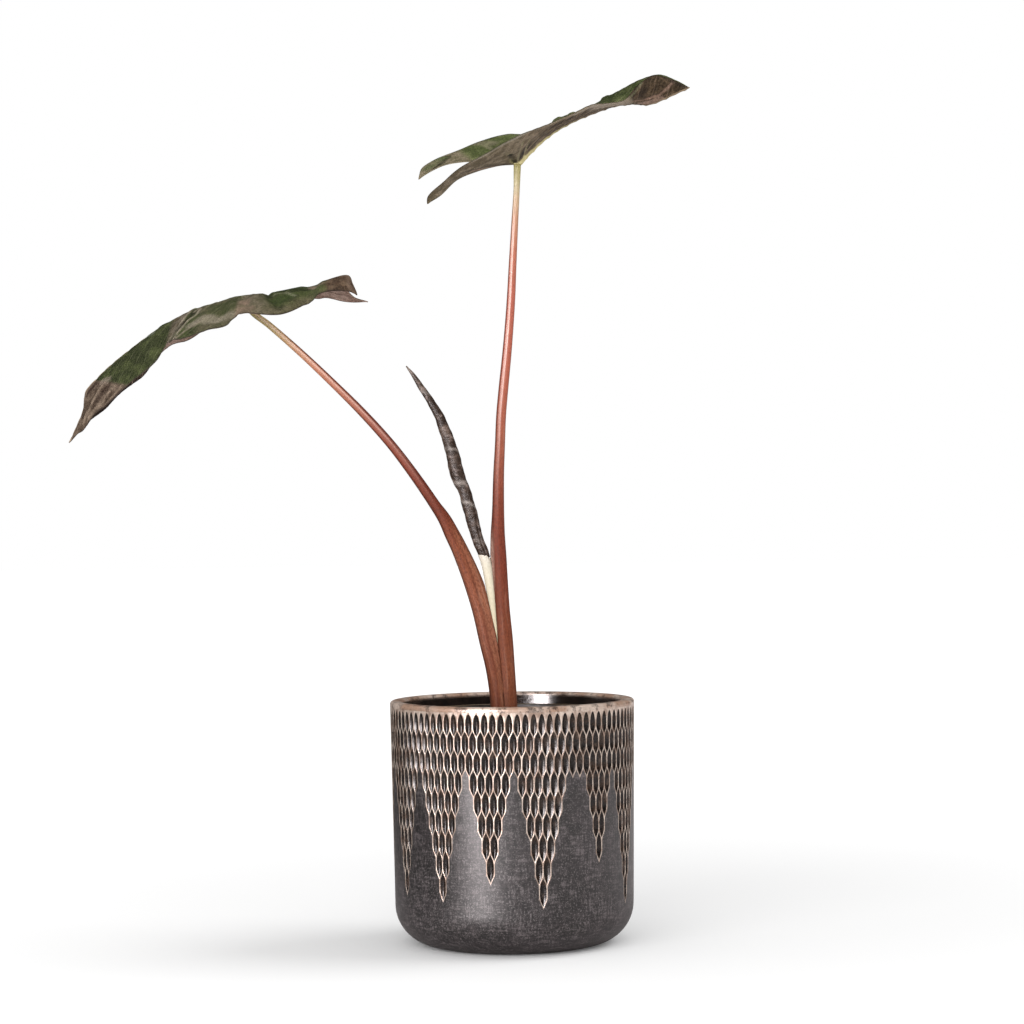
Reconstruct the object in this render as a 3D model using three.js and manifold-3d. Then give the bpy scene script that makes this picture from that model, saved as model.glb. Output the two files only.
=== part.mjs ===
// A young alocasia in a black growing pot, which stands in a carved stoneware cover pot.
// It has two arrow-shaped leaves and a third one that is still rolled up.
// Millimetres, +Z up. The origin is the centre of the cover pot's base, +X is right and -Y is the front.
import * as THREE from 'three';
import { mergeVertices } from 'three/addons/utils/BufferGeometryUtils.js';
import Module from 'manifold-3d';

const wasm = await Module();
wasm.setup();

// Fit between neighbouring pieces
const GAP = 0.3;
const WELD = 0.001;

// Cover pot
const POT_HEIGHT = 149;
const POT_RIM_RADIUS = 75;
const POT_LOW_RADIUS = 73.2;
const POT_CORNER_RADIUS = 24.6;
const POT_WALL = 8.6;
const POT_FLOOR = 9.5;
const POT_INNER_FILLET = 12;
const LIP_ROUNDING = 2;
const INNER_FLARE = 0.9;
const FLARE_BOTTOM = 139;
const CORNER_STEPS = 5;
const INNER_SIDES = 48;

// Carving: rows of lens-shaped cuts, each row half a column aside from the row above.
// The rows are carved by hand, so the lowest one leans down to the right by the row lean.
const COLUMNS = 96;
const ROWS = 9;
const FULL_ROWS = 3;
const FIRST_ROW_HEIGHT = 138.8;
const FIRST_ROW_TOP = 145;
const FIRST_ROW_PITCH = 11.4;
const PITCH_GROWTH = 0.26;
const STRAIGHT_SHARE = 0.535;
const ROW_LEAN = 4.1;
const CARVE_DEPTH = 1.2;
const CARVE_REACH = 0.17;
const ODD_ROW_TURN = 0.6;
const EVEN_ROW_TURN = 0.1;
// Below the full rows the cuts narrow down to icicles: the column and the row of each tip
const ICICLES = [
  [-18.4, 9], [-9.4, 9], [-2.9, 8], [3.6, 9], [11.6, 7], [17.6, 9], [24.1, 8],
  [31.6, 9], [38.6, 7], [45.6, 9], [52.1, 8], [59.6, 9], [65.6, 7], [71.1, 8],
];

// Growing pot
const NURSERY_RIM_HEIGHT = 142;
const NURSERY_RIM_RADIUS = 62.5;
const NURSERY_TOP_RADIUS = 60.5;
const NURSERY_BASE_RADIUS = 47;
const NURSERY_WALL = 1.2;
const NURSERY_COLLAR = 8;
const DRAIN_HOLES = 8;
const DRAIN_RADIUS = 4;
const DRAIN_CIRCLE = 33;
const DRAIN_SIDES = 10;

// Soil, and the corm that is buried in it
const SOIL_HEIGHT = 128;
const SOIL_SIDES = 40;
const SOIL_RINGS = 4;
const SOIL_DROP = 2.5;
const SOIL_LUMP = 0.7;
const CORM_CENTRE = -4.7;
const CORM_RADIUS = 10.7;
const CORM_CROWN = 9.2;
const CORM_BOTTOM = 88;
const CORM_SIDES = 24;
const HOLE_DEPTH = SOIL_HEIGHT - CORM_BOTTOM + GAP;

// Stalks: x, y, z of the body's centre, then its reach to the left, to the right, and to the front
// and back. A round stretch gives one radius. Each goes from the corm up to its blade.
const STALK_SIDES = 16;
const STEPS_BETWEEN_STATIONS = 2;
const WING_THINNING = 0.42;
const LEFT_STALK = [
  [-8.2, 0, 122, 5, 8.5, 6.9], [-8.7, 0, 148, 4.8, 8.5, 6.6], [-11.1, 0, 167, 4.7, 8.3, 6.3],
  [-15.2, 0, 185, 4.6, 8.2, 5.8], [-19.5, 0, 204, 4.4, 8, 5.1], [-25, 0, 222, 4.2, 7.7, 4.5],
  [-32, 0, 241, 3.9, 6, 4], [-36.1, 0, 250, 3.8, 5.6, 3.8], [-40.5, 0, 260, 3.6, 4.4, 3.6],
  [-46, 0, 269, 3.3], [-58, -1.5, 287, 3.05], [-72, -3.5, 306, 2.8], [-88.5, -6.5, 325, 2.6],
  [-106, -9.5, 343, 2.35], [-125.5, -12, 362, 2.15], [-145.5, -13.5, 380, 2], [-155.5, -14, 388, 1.9],
  [-160.5, -14, 395.6, 2.1],
];
const RIGHT_STALK = [
  [-2, 0, 122, 7, 5.8, 5.6], [-2.3, 0, 148, 6.8, 5.4, 5.4], [-3, 0, 167, 6.6, 5.1, 5.2],
  [-3.8, 0, 185, 6.4, 4.9, 5], [-5.2, 0, 204, 6.4, 4.6, 4.7], [-6, 0, 222, 6.4, 4.4, 4.5],
  [-6.4, 0, 235, 6, 4.2, 4.3], [-7, 0, 250, 4.9, 3.9, 4], [-7.1, 0, 260, 4, 3.8, 3.8],
  [-7, 0, 268, 3.65], [-6.5, 1, 287, 3.35], [-5.5, 2, 305, 3.1], [-4.5, 3, 324, 3.05],
  [-2.7, 4.5, 342, 3], [-0.6, 6.5, 361, 2.85], [1.2, 8, 380, 2.7], [2.6, 10, 398, 2.6],
  [3.7, 11.5, 417, 2.4], [5.5, 13, 445, 2.1], [6.8, 14, 464, 1.9], [7.4, 14, 478.6, 2.2],
];
const NEW_STALK = [
  [-7, 0, 122, 2.6], [-8, 0, 148, 2.6], [-8.4, 0, 167, 2.6], [-9.3, 0, 190, 2.7],
  [-10.6, 0, 204, 2.8], [-12.6, 0, 220, 3], [-15, 0, 234, 3.4], [-18, 0, 242, 3.2],
];

// Rolled new blade, from its stalk up to its tip, with one radius at each place
const ROLLED_SIDES = 12;
const ROLLED_BLADE = [
  [-14.2, 0, 235.5, 2.2], [-16.6, 0, 239.5, 3.5], [-20.6, 0, 250, 3.5], [-22.9, 0, 259.5, 4],
  [-25.3, 0, 268.5, 4], [-27.9, 0, 278, 3.7], [-31.8, 0, 287, 4.5], [-33.8, 0, 296.5, 4.3],
  [-36.2, 0, 305.5, 3.8], [-39.5, 0, 315, 3.4], [-43, 0, 324, 2.8], [-48.4, 0, 333.5, 2.2],
  [-54.5, 0, 343, 1.8], [-59, 0, 350, 1.1], [-62.5, 0, 354.5, 0.4],
];

// Open blades. Lobes: lines from the near margin to the near and the far edge of the notch and the
// far margin, from the lobes' tips to the stalk. Ribs: lines from the near margin over the midrib
// to the far margin, from the stalk to the leaf's tip.
const BLADE_THICKNESS = 0.7;
const MIDRIB_HEIGHT = 1;
const MIDRIB_FLARE = 1.7;
const MIDRIB_FLARE_LENGTH = 20;
const FULL_CROWN_WIDTH = 30;
const ACROSS_BLADE = [0, 0.045, 0.36, 0.68, 1];
const STEPS_BETWEEN_RIBS = 2;
const LEFT_BLADE = {
  crown: 3,
  lobes: [
    [[-89.7, -40, 395.5], [-89.7, -40, 395.5], [-86, 12, 395.5], [-86, 12, 395.5]],
    [[-94, -47, 397], [-92.9, -34, 402.5], [-94, 6, 397], [-94, 19, 395.5]],
    [[-101, -52, 397], [-95.8, -30, 408], [-100, 1, 402.5], [-102, 24, 396.5]],
    [[-111, -57, 395.5], [-110, -26, 404.5], [-112, -3, 404], [-114, 29, 399.5]],
    [[-122, -61, 387.5], [-126, -22, 402], [-127, -7, 401.5], [-127, 33, 401]],
    [[-133, -64, 382.5], [-144, -18, 399], [-145, -10, 399], [-142, 35, 398]],
  ],
  ribs: [
    [[-151, -64, 383.5], [-161, -14, 397.5], [-160, 34, 394.5]],
    [[-159.5, -64, 384.5], [-168, -14, 396], [-170, 34, 394]],
    [[-166, -62, 376.5], [-178, -14, 393.5], [-178, 33, 386.5]],
    [[-179, -60, 373.5], [-186, -14, 391.5], [-188, 32, 381.5]],
    [[-192, -57, 369.5], [-194, -14, 388.5], [-200, 30, 374]],
    [[-202, -53, 367], [-202, -14, 384.5], [-210, 28, 371]],
    [[-209, -54, 357], [-212, -14, 379], [-218, 25, 364]],
    [[-218, -51, 349.5], [-222, -14, 372], [-227, 22, 352]],
    [[-228, -45, 342.5], [-232, -14, 364.5], [-234, 19, 346.5]],
    [[-240, -38, 332.5], [-242, -14, 356.5], [-242, 16, 339.5]],
    [[-250, -29, 326.5], [-250, -14, 349], [-249, 11, 331]],
    [[-256, -23, 319.5], [-257.5, -14, 340.5], [-256, 4, 325]],
    [[-259, -20, 316.5], [-259, -14, 330], [-261, -4, 319]],
    [[-263, -17, 314.5], [-263, -14, 320], [-264, -10, 314.5]],
    [[-268, -14, 309.5], [-268, -14, 309.5], [-268, -14, 309.5]],
  ],
};
const RIGHT_BLADE = {
  crown: -1,
  lobes: [
    [[-48, -16, 452.5], [-48, -16, 452.5], [-55, 42, 474.5], [-55, 42, 474.5]],
    [[-47, -21, 456], [-40, -10, 458], [-46, 36, 479], [-53, 48, 482]],
    [[-39, -26, 463.5], [-30, -4, 468], [-37, 31, 482], [-46, 53, 487]],
    [[-28, -31, 472], [-19, 2, 473.5], [-22, 25, 483], [-34, 58, 493]],
    [[-10, -34, 481], [-5, 9, 478], [-6, 19, 481], [-16, 62, 500.5]],
  ],
  ribs: [
    [[7, -34, 490.5], [7, 14, 480], [2, 62, 505]],
    [[15, -33, 493.5], [14, 14, 486.5], [12, 62, 504.5]],
    [[24, -32, 497], [22, 14, 493.5], [23, 61, 508]],
    [[33, -30, 501], [32, 14, 500.5], [34, 59, 514]],
    [[43, -28, 505], [44, 14, 506.5], [45, 57, 517]],
    [[53, -25, 510], [56, 14, 511], [56, 54, 521.5]],
    [[62, -22, 511.5], [67, 14, 514.5], [66, 50, 526.5]],
    [[73, -17, 514], [79, 14, 516], [76, 45, 530.5]],
    [[81, -10, 523], [90, 14, 515.5], [86, 38, 535]],
    [[92, -2, 531], [100, 14, 519], [97, 30, 536.5]],
    [[104, 6, 529.5], [108, 14, 522.5], [107, 22, 531.5]],
    [[115, 14, 525.5], [115, 14, 525.5], [115, 14, 525.5]],
  ],
};

// A surface is gathered from points and triangles, and points at one place are one point.
class Skin {
  constructor() {
    this.points = [];
    this.triangles = [];
    this.places = new Map();
  }

  point(x, y, z) {
    const place = [x, y, z].map((value) => Math.round(value / WELD)).join();
    if (!this.places.has(place)) {
      this.places.set(place, this.points.length);
      this.points.push(new THREE.Vector3(x, y, z));
    }
    return this.places.get(place);
  }

  face(...corners) {
    for (let i = 1; i + 1 < corners.length; i += 1) {
      const triangle = [corners[0], corners[i], corners[i + 1]];
      if (new Set(triangle).size === 3) this.triangles.push(triangle);
    }
  }

  geometry() {
    const made = new THREE.BufferGeometry();
    const places = this.points.flatMap((point) => point.toArray());
    made.setAttribute('position', new THREE.Float32BufferAttribute(places, 3));
    made.setIndex(this.triangles.flat());
    return made;
  }
}

function around(ring, index) {
  return ring[(index + ring.length) % ring.length];
}

// Joins two rings that run the same way. One may have twice the sides of the other.
function joinRings(skin, first, second) {
  const sides = Math.max(first.length, second.length);
  const onFirst = (index) => around(first, Math.floor((index * first.length) / sides));
  const onSecond = (index) => around(second, Math.floor((index * second.length) / sides));
  for (let i = 0; i < sides; i += 1) {
    skin.face(onFirst(i), onFirst(i + 1), onSecond(i));
    skin.face(onFirst(i + 1), onSecond(i + 1), onSecond(i));
  }
}

function closeRing(skin, ring, centre, facesAlong) {
  ring.forEach((corner, i) => {
    const next = around(ring, i + 1);
    if (facesAlong) skin.face(centre, corner, next);
    else skin.face(centre, next, corner);
  });
}

// Cutting
function solidOf(geometry) {
  const bare = geometry.clone();
  bare.deleteAttribute('normal');
  bare.deleteAttribute('uv');
  const merged = mergeVertices(bare, WELD);
  return new wasm.Manifold(new wasm.Mesh({
    numProp: 3,
    vertProperties: merged.attributes.position.array,
    triVerts: new Uint32Array(merged.index.array),
  }));
}

function geometryOf(solid) {
  const mesh = solid.getMesh();
  const made = new THREE.BufferGeometry();
  made.setAttribute('position', new THREE.BufferAttribute(new Float32Array(mesh.vertProperties), 3));
  made.setIndex(new THREE.BufferAttribute(new Uint32Array(mesh.triVerts), 1));
  return made;
}

// Cuts the other shapes out of the first one and keeps its largest piece.
function cut(geometry, ...cutters) {
  let solid = solidOf(geometry);
  for (const cutter of cutters) solid = solid.subtract(solidOf(cutter));
  const pieces = solid.decompose().sort((a, b) => b.volume() - a.volume());
  return geometryOf(pieces[0]);
}

// Turned shapes
function turned(profile, sides) {
  const points = profile.map(([radius, height]) => new THREE.Vector2(radius, height));
  return new THREE.LatheGeometry(points, sides).rotateX(Math.PI / 2);
}

// Cover pot: a place on it is a column, counted from the front towards the right, a radius and a height.
function potPoint(skin, column, radius, height) {
  const turn = (column / COLUMNS) * Math.PI * 2;
  return skin.point(radius * Math.sin(turn), -radius * Math.cos(turn), height);
}

function potRing(skin, firstColumn, radius, height, sides = COLUMNS) {
  const step = COLUMNS / sides;
  return Array.from({ length: sides }, (_, i) => potPoint(skin, firstColumn + i * step, radius, height));
}

function wallRadius(height) {
  const share = (height - POT_CORNER_RADIUS) / (POT_HEIGHT - POT_CORNER_RADIUS);
  return POT_LOW_RADIUS + (POT_RIM_RADIUS - POT_LOW_RADIUS) * Math.max(0, share);
}

function rowTurn(row) {
  return row % 2 ? ODD_ROW_TURN : EVEN_ROW_TURN;
}

function rowPitch(row) {
  return FIRST_ROW_PITCH + (row - 1) * PITCH_GROWTH;
}

function rowHeight(row) {
  let height = FIRST_ROW_HEIGHT;
  for (let above = 1; above < row; above += 1) height -= rowPitch(above);
  return height;
}

const LAST_TIP = rowHeight(ROWS) - rowPitch(ROWS) * (1 - STRAIGHT_SHARE / 2);

// A place on the carved wall, or below its surface by the depth
function wallPoint(skin, column, height, depth = 0) {
  const turn = (column / COLUMNS) * Math.PI * 2;
  const down = (FIRST_ROW_TOP - height) / (FIRST_ROW_TOP - LAST_TIP);
  const leaned = height - ROW_LEAN * down * Math.sin(turn);
  return potPoint(skin, column, wallRadius(height) - depth, leaned);
}

function wallRing(skin, firstColumn, height) {
  return Array.from({ length: COLUMNS }, (_, i) => wallPoint(skin, firstColumn + i, height));
}

function isCarved(row, column) {
  if (row <= FULL_ROWS) return true;
  return ICICLES.some(([centre, tip]) => {
    const apart = Math.abs(column - centre) % COLUMNS;
    return Math.min(apart, COLUMNS - apart) <= (tip - row) / 2 + WELD;
  });
}

// One lens is a tall hexagon whose middle is sunk. Cells go round it anticlockwise, from the top.
function lensCell(skin, row, column, corners) {
  const [top, leftUp, leftDown, bottom, rightDown, rightUp] = corners;
  if (!isCarved(row, column)) {
    skin.face(...corners);
    return;
  }
  const high = rowHeight(row) + rowPitch(row) * CARVE_REACH;
  const low = rowHeight(row) - rowPitch(row) * CARVE_REACH;
  const deepHigh = wallPoint(skin, column, high, CARVE_DEPTH);
  const deepLow = wallPoint(skin, column, low, CARVE_DEPTH);
  skin.face(top, leftUp, deepHigh);
  skin.face(leftUp, leftDown, deepLow, deepHigh);
  skin.face(leftDown, bottom, deepLow);
  skin.face(bottom, rightDown, deepLow);
  skin.face(rightDown, rightUp, deepHigh, deepLow);
  skin.face(rightUp, top, deepHigh);
}

// The carved wall is a net of cells, with straight sides in a row and slants that meet the next rows.
function carvedWall(skin) {
  const sideColumn = (row) => (row % 2 ? EVEN_ROW_TURN : ODD_ROW_TURN - 1);
  const upper = [];
  const lower = [];
  for (let row = 1; row <= ROWS; row += 1) {
    const half = (rowPitch(row) * STRAIGHT_SHARE) / 2;
    upper[row] = wallRing(skin, sideColumn(row), rowHeight(row) + half);
    lower[row] = wallRing(skin, sideColumn(row), rowHeight(row) - half);
  }
  lower[0] = wallRing(skin, sideColumn(0), FIRST_ROW_TOP);
  upper[ROWS + 1] = wallRing(skin, sideColumn(ROWS + 1), LAST_TIP);

  for (let row = 1; row <= ROWS; row += 1) {
    for (let n = 0; n < COLUMNS; n += 1) {
      const beside = n + (row % 2);
      lensCell(skin, row, n + rowTurn(row), [
        around(lower[row - 1], beside),
        upper[row][n],
        lower[row][n],
        around(upper[row + 1], beside),
        around(lower[row], n + 1),
        around(upper[row], n + 1),
      ]);
    }
  }
  return { tops: lower[0], shoulders: upper[1], feet: lower[ROWS], tips: upper[ROWS + 1] };
}

// Plain bands above and below the carving, where each lens tip stands between two corners
function bandAbove(skin, tops, shoulders, edge) {
  tops.forEach((top, n) => {
    skin.face(shoulders[n], edge[n], top);
    skin.face(top, edge[n], around(edge, n - 1));
    skin.face(top, around(edge, n - 1), around(shoulders, n - 1));
  });
}

function bandBelow(skin, tips, feet, edge) {
  tips.forEach((tip, n) => {
    skin.face(around(feet, n - 1), around(edge, n - 1), tip);
    skin.face(tip, around(edge, n - 1), edge[n]);
    skin.face(tip, edge[n], feet[n]);
  });
}

function potCorner(skin) {
  const flatRadius = POT_LOW_RADIUS - POT_CORNER_RADIUS;
  let ring;
  for (let step = 0; step <= CORNER_STEPS; step += 1) {
    const turn = (step / CORNER_STEPS) * (Math.PI / 2);
    const radius = flatRadius + POT_CORNER_RADIUS * Math.sin(turn);
    const height = POT_CORNER_RADIUS * (1 - Math.cos(turn));
    const next = potRing(skin, EVEN_ROW_TURN, radius, height);
    if (ring) joinRings(skin, ring, next);
    else closeRing(skin, next, skin.point(0, 0, 0), false);
    ring = next;
  }
  return ring;
}

function potLipAndInside(skin, edge) {
  const inner = POT_RIM_RADIUS - POT_WALL;
  const low = POT_LOW_RADIUS - POT_WALL;
  const rounded = LIP_ROUNDING * (1 - Math.SQRT1_2);
  const fillet = POT_INNER_FILLET * (1 - Math.SQRT1_2);
  const profile = [
    [POT_RIM_RADIUS - rounded, POT_HEIGHT - rounded, COLUMNS],
    [POT_RIM_RADIUS - LIP_ROUNDING, POT_HEIGHT, COLUMNS],
    [inner + INNER_FLARE + LIP_ROUNDING, POT_HEIGHT, COLUMNS],
    [inner + INNER_FLARE, POT_HEIGHT - LIP_ROUNDING, INNER_SIDES],
    [inner, FLARE_BOTTOM, INNER_SIDES],
    [low, POT_FLOOR + POT_INNER_FILLET, INNER_SIDES],
    [low - fillet, POT_FLOOR + fillet, INNER_SIDES],
    [low - POT_INNER_FILLET, POT_FLOOR, INNER_SIDES],
  ];
  let ring = edge;
  for (const [radius, height, sides] of profile) {
    const next = potRing(skin, EVEN_ROW_TURN, radius, height, sides);
    joinRings(skin, ring, next);
    ring = next;
  }
  closeRing(skin, ring, skin.point(0, 0, POT_FLOOR), true);
}

function makePot() {
  const skin = new Skin();
  const { tops, shoulders, feet, tips } = carvedWall(skin);
  bandBelow(skin, tips, feet, potCorner(skin));
  const edge = potRing(skin, EVEN_ROW_TURN, POT_RIM_RADIUS, POT_HEIGHT - LIP_ROUNDING);
  bandAbove(skin, tops, shoulders, edge);
  potLipAndInside(skin, edge);
  return skin.geometry();
}

// Growing pot: a tapered cup with a collar at its rim and a ring of drain holes
const NURSERY_BOTTOM = POT_FLOOR + GAP;
const NURSERY_FLOOR = NURSERY_BOTTOM + NURSERY_WALL;
const COLLAR_HEIGHT = NURSERY_RIM_HEIGHT - NURSERY_COLLAR;

function makeNurseryPot() {
  const cup = turned([
    [0, NURSERY_BOTTOM],
    [NURSERY_BASE_RADIUS, NURSERY_BOTTOM],
    [NURSERY_TOP_RADIUS, COLLAR_HEIGHT],
    [NURSERY_RIM_RADIUS, COLLAR_HEIGHT + NURSERY_WALL],
    [NURSERY_RIM_RADIUS, NURSERY_RIM_HEIGHT],
    [NURSERY_RIM_RADIUS - NURSERY_WALL * 1.5, NURSERY_RIM_HEIGHT],
    [NURSERY_TOP_RADIUS - NURSERY_WALL, COLLAR_HEIGHT],
    [NURSERY_BASE_RADIUS - NURSERY_WALL, NURSERY_FLOOR],
    [0, NURSERY_FLOOR],
  ], INNER_SIDES);
  const holes = Array.from({ length: DRAIN_HOLES }, (_, i) => {
    const turn = ((i + 0.5) / DRAIN_HOLES) * Math.PI * 2;
    const hole = new THREE.CylinderGeometry(DRAIN_RADIUS, DRAIN_RADIUS, NURSERY_WALL * 4, DRAIN_SIDES);
    hole.rotateX(Math.PI / 2);
    return hole.translate(DRAIN_CIRCLE * Math.cos(turn), DRAIN_CIRCLE * Math.sin(turn), NURSERY_FLOOR);
  });
  return cut(cup, ...holes);
}

// Soil: fills the growing pot, with a lumpy top that falls towards the wall and a plain hole for the corm
function nurseryInnerRadius(height) {
  const share = (height - NURSERY_BOTTOM) / (COLLAR_HEIGHT - NURSERY_BOTTOM);
  return NURSERY_BASE_RADIUS + (NURSERY_TOP_RADIUS - NURSERY_BASE_RADIUS) * share - NURSERY_WALL;
}

function soilTop(x, y) {
  const fall = Math.hypot(x, y) / nurseryInnerRadius(SOIL_HEIGHT);
  const lumps = Math.sin(x * 0.31 + 1) * Math.cos(y * 0.27) + Math.sin(x * 0.13 - y * 0.19);
  return SOIL_HEIGHT - SOIL_DROP * fall * fall + SOIL_LUMP * lumps * fall;
}

function makeSoil() {
  const bottom = NURSERY_FLOOR + GAP;
  const wall = nurseryInnerRadius(SOIL_HEIGHT - SOIL_DROP) - 2 * GAP;
  const profile = [[0, bottom], [nurseryInnerRadius(bottom) - 2 * GAP, bottom]];
  for (let ring = SOIL_RINGS; ring >= 0; ring -= 1) profile.push([(wall * ring) / SOIL_RINGS, SOIL_HEIGHT]);
  const ball = turned(profile, SOIL_SIDES);
  const places = ball.attributes.position;
  for (let i = 0; i < places.count; i += 1) {
    if (places.getZ(i) > bottom + WELD) places.setZ(i, soilTop(places.getX(i), places.getY(i)));
  }
  const hole = new THREE.CylinderGeometry(CORM_RADIUS + GAP, CORM_RADIUS + GAP, HOLE_DEPTH * 2, CORM_SIDES);
  hole.rotateX(Math.PI / 2).translate(CORM_CENTRE, 0, SOIL_HEIGHT);
  return cut(ball, hole);
}

// Corm: a short knobbly rootstock with rings where old leaves were, and a flat crown for the stalks
function makeCorm() {
  const length = SOIL_HEIGHT - CORM_BOTTOM;
  const profile = [
    [0, 0], [0.5, 0.02], [0.83, 0.16], [0.97, 0.36], [0.9, 0.4], [1, 0.52], [0.92, 0.57],
    [0.99, 0.7], [0.9, 0.76], [0.95, 0.88], [CORM_CROWN / CORM_RADIUS, 0.985], [0.8, 1], [0, 1],
  ];
  const corm = turned(profile.map(([r, z]) => [r * CORM_RADIUS, CORM_BOTTOM + z * length]), CORM_SIDES);
  return corm.translate(CORM_CENTRE, 0, 0);
}

// Stalks and the rolled blade are lofted through their stations.
function stationReach([, , , left, right = left, deep = left]) {
  return [left, right, deep];
}

// A side that reaches out past the body's own half depth is a sheath wing, which thins to its edge.
function sectionPoint(turn, [left, right, deep]) {
  const side = Math.cos(turn);
  const reach = side < 0 ? left : right;
  const wing = Math.max(0, reach / deep - 1) * Math.abs(side);
  return [reach * side, deep * Math.sin(turn) * (1 - WING_THINNING * wing)];
}

function loft(stations, sides, grow = 0) {
  const spots = stations.map(([x, y, z]) => new THREE.Vector3(x, y, z));
  const path = new THREE.CatmullRomCurve3(spots, false, 'centripetal');
  const steps = (stations.length - 1) * STEPS_BETWEEN_STATIONS;
  const depthAxis = new THREE.Vector3(0, 1, 0);
  const skin = new Skin();
  let ring;
  for (let step = 0; step <= steps; step += 1) {
    const along = step / steps;
    const place = along * (stations.length - 1);
    const before = Math.min(Math.floor(place), stations.length - 2);
    const low = stationReach(stations[before]);
    const high = stationReach(stations[before + 1]);
    const reach = low.map((value, i) => THREE.MathUtils.lerp(value, high[i], place - before) + grow);
    const tangent = path.getTangent(along);
    const across = new THREE.Vector3().crossVectors(depthAxis, tangent).normalize();
    const depth = new THREE.Vector3().crossVectors(tangent, across);
    const end = step === 0 ? -1 : Number(step === steps);
    const centre = path.getPoint(along).addScaledVector(tangent, end * grow);
    const next = Array.from({ length: sides }, (_, i) => {
      const [x, y] = sectionPoint((i / sides) * Math.PI * 2, reach);
      return skin.point(...centre.clone().addScaledVector(across, x).addScaledVector(depth, y).toArray());
    });
    if (ring) joinRings(skin, ring, next);
    if (end) closeRing(skin, next, skin.point(...centre.toArray()), end > 0);
    ring = next;
  }
  return skin.geometry();
}

// Open blades: each half is a strip between an inner line, the notch edge and the midrib, and the margin.
function rail(points) {
  const spots = points.map((spot) => new THREE.Vector3(...spot));
  const curve = new THREE.CatmullRomCurve3(spots, false, 'centripetal');
  return curve.getPoints((points.length - 1) * STEPS_BETWEEN_RIBS);
}

function bladeHalf(sheet, inner, outer, crown) {
  const rows = inner.map((start, i) => ACROSS_BLADE.map((share) => {
    const spot = start.clone().lerp(outer[i], share);
    const width = start.distanceTo(outer[i]);
    spot.z += crown * 4 * share * (1 - share) * Math.min(1, width / FULL_CROWN_WIDTH);
    return sheet.point(...spot.toArray());
  }));
  const slope = new THREE.Vector3().crossVectors(
    inner.at(-1).clone().sub(inner[0]),
    outer[Math.floor(outer.length / 2)].clone().sub(inner[Math.floor(inner.length / 2)]),
  );
  for (let i = 0; i + 1 < rows.length; i += 1) {
    for (let j = 0; j + 1 < ACROSS_BLADE.length; j += 1) {
      const corners = [rows[i][j], rows[i + 1][j], rows[i + 1][j + 1], rows[i][j + 1]];
      sheet.face(...(slope.z > 0 ? corners : corners.reverse()));
    }
  }
  return rows.map((row) => row[0]);
}

// Thickens a sheet to both sides along its normals and closes its edge.
function thicken(sheet, thickness, ribs) {
  const normals = sheet.points.map(() => new THREE.Vector3());
  const edges = new Set();
  for (const [a, b, c] of sheet.triangles) {
    const [p, q, r] = [a, b, c].map((corner) => sheet.points[corner]);
    const normal = q.clone().sub(p).cross(r.clone().sub(p));
    for (const corner of [a, b, c]) normals[corner].add(normal);
    for (const edge of [[a, b], [b, c], [c, a]]) edges.add(edge.join());
  }
  const skin = new Skin();
  const shifted = (sign) => sheet.points.map((point, i) => {
    const rib = sign < 0 ? ribs.get(i) || 0 : 0;
    const away = sign * (thickness / 2 + rib);
    return skin.point(...point.clone().addScaledVector(normals[i].normalize(), away).toArray());
  });
  const top = shifted(1);
  const under = shifted(-1);
  for (const [a, b, c] of sheet.triangles) {
    skin.face(top[a], top[b], top[c]);
    skin.face(under[c], under[b], under[a]);
    for (const [from, to] of [[a, b], [b, c], [c, a]]) {
      if (!edges.has([to, from].join())) skin.face(top[from], under[from], under[to], top[to]);
    }
  }
  return skin.geometry();
}

function makeBlade({ lobes, ribs, crown }, grow = 0) {
  const sheet = new Skin();
  const midrib = rail(ribs.map((line) => line[1]));
  const halves = [[1, 0, 0], [2, 3, 2]];
  let inner;
  for (const [notch, lobeMargin, ribMargin] of halves) {
    const notchEdge = rail([...lobes.map((line) => line[notch]), ribs[0][1]]);
    const margin = rail([...lobes.map((line) => line[lobeMargin]), ...ribs.map((line) => line[ribMargin])]);
    inner = bladeHalf(sheet, [...notchEdge.slice(0, -1), ...midrib], margin, crown);
  }
  const ribbed = inner.slice(-midrib.length);
  const heights = new Map(ribbed.map((corner, i) => {
    const run = midrib[i].distanceTo(midrib[0]);
    const flare = run > 0 ? MIDRIB_FLARE * Math.exp(-run / MIDRIB_FLARE_LENGTH) : 0;
    return [corner, MIDRIB_HEIGHT * (1 - i / ribbed.length) + flare];
  }));
  return thicken(sheet, BLADE_THICKNESS + 2 * grow, heights);
}

// Colours, and how rough and how metallic each piece is
const LOOKS = {
  pot: ['#4a423c', 0.32, 0.55],
  nursery_pot: ['#15150f', 0.45, 0],
  soil: ['#2e2118', 0.95, 0],
  corm: ['#5a4030', 0.8, 0],
  petiole_left: ['#7c4436', 0.5, 0],
  petiole_right: ['#84473a', 0.5, 0],
  petiole_new: ['#e6dfc0', 0.5, 0],
  blade_left: ['#46502f', 0.5, 0],
  blade_right: ['#4f463b', 0.5, 0],
  blade_new: ['#3a2c28', 0.4, 0],
};

function piece(name, geometry) {
  const [color, roughness, metalness] = LOOKS[name];
  const made = new THREE.Mesh(geometry, new THREE.MeshStandardMaterial({ color, roughness, metalness }));
  made.name = name;
  return made;
}

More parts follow.
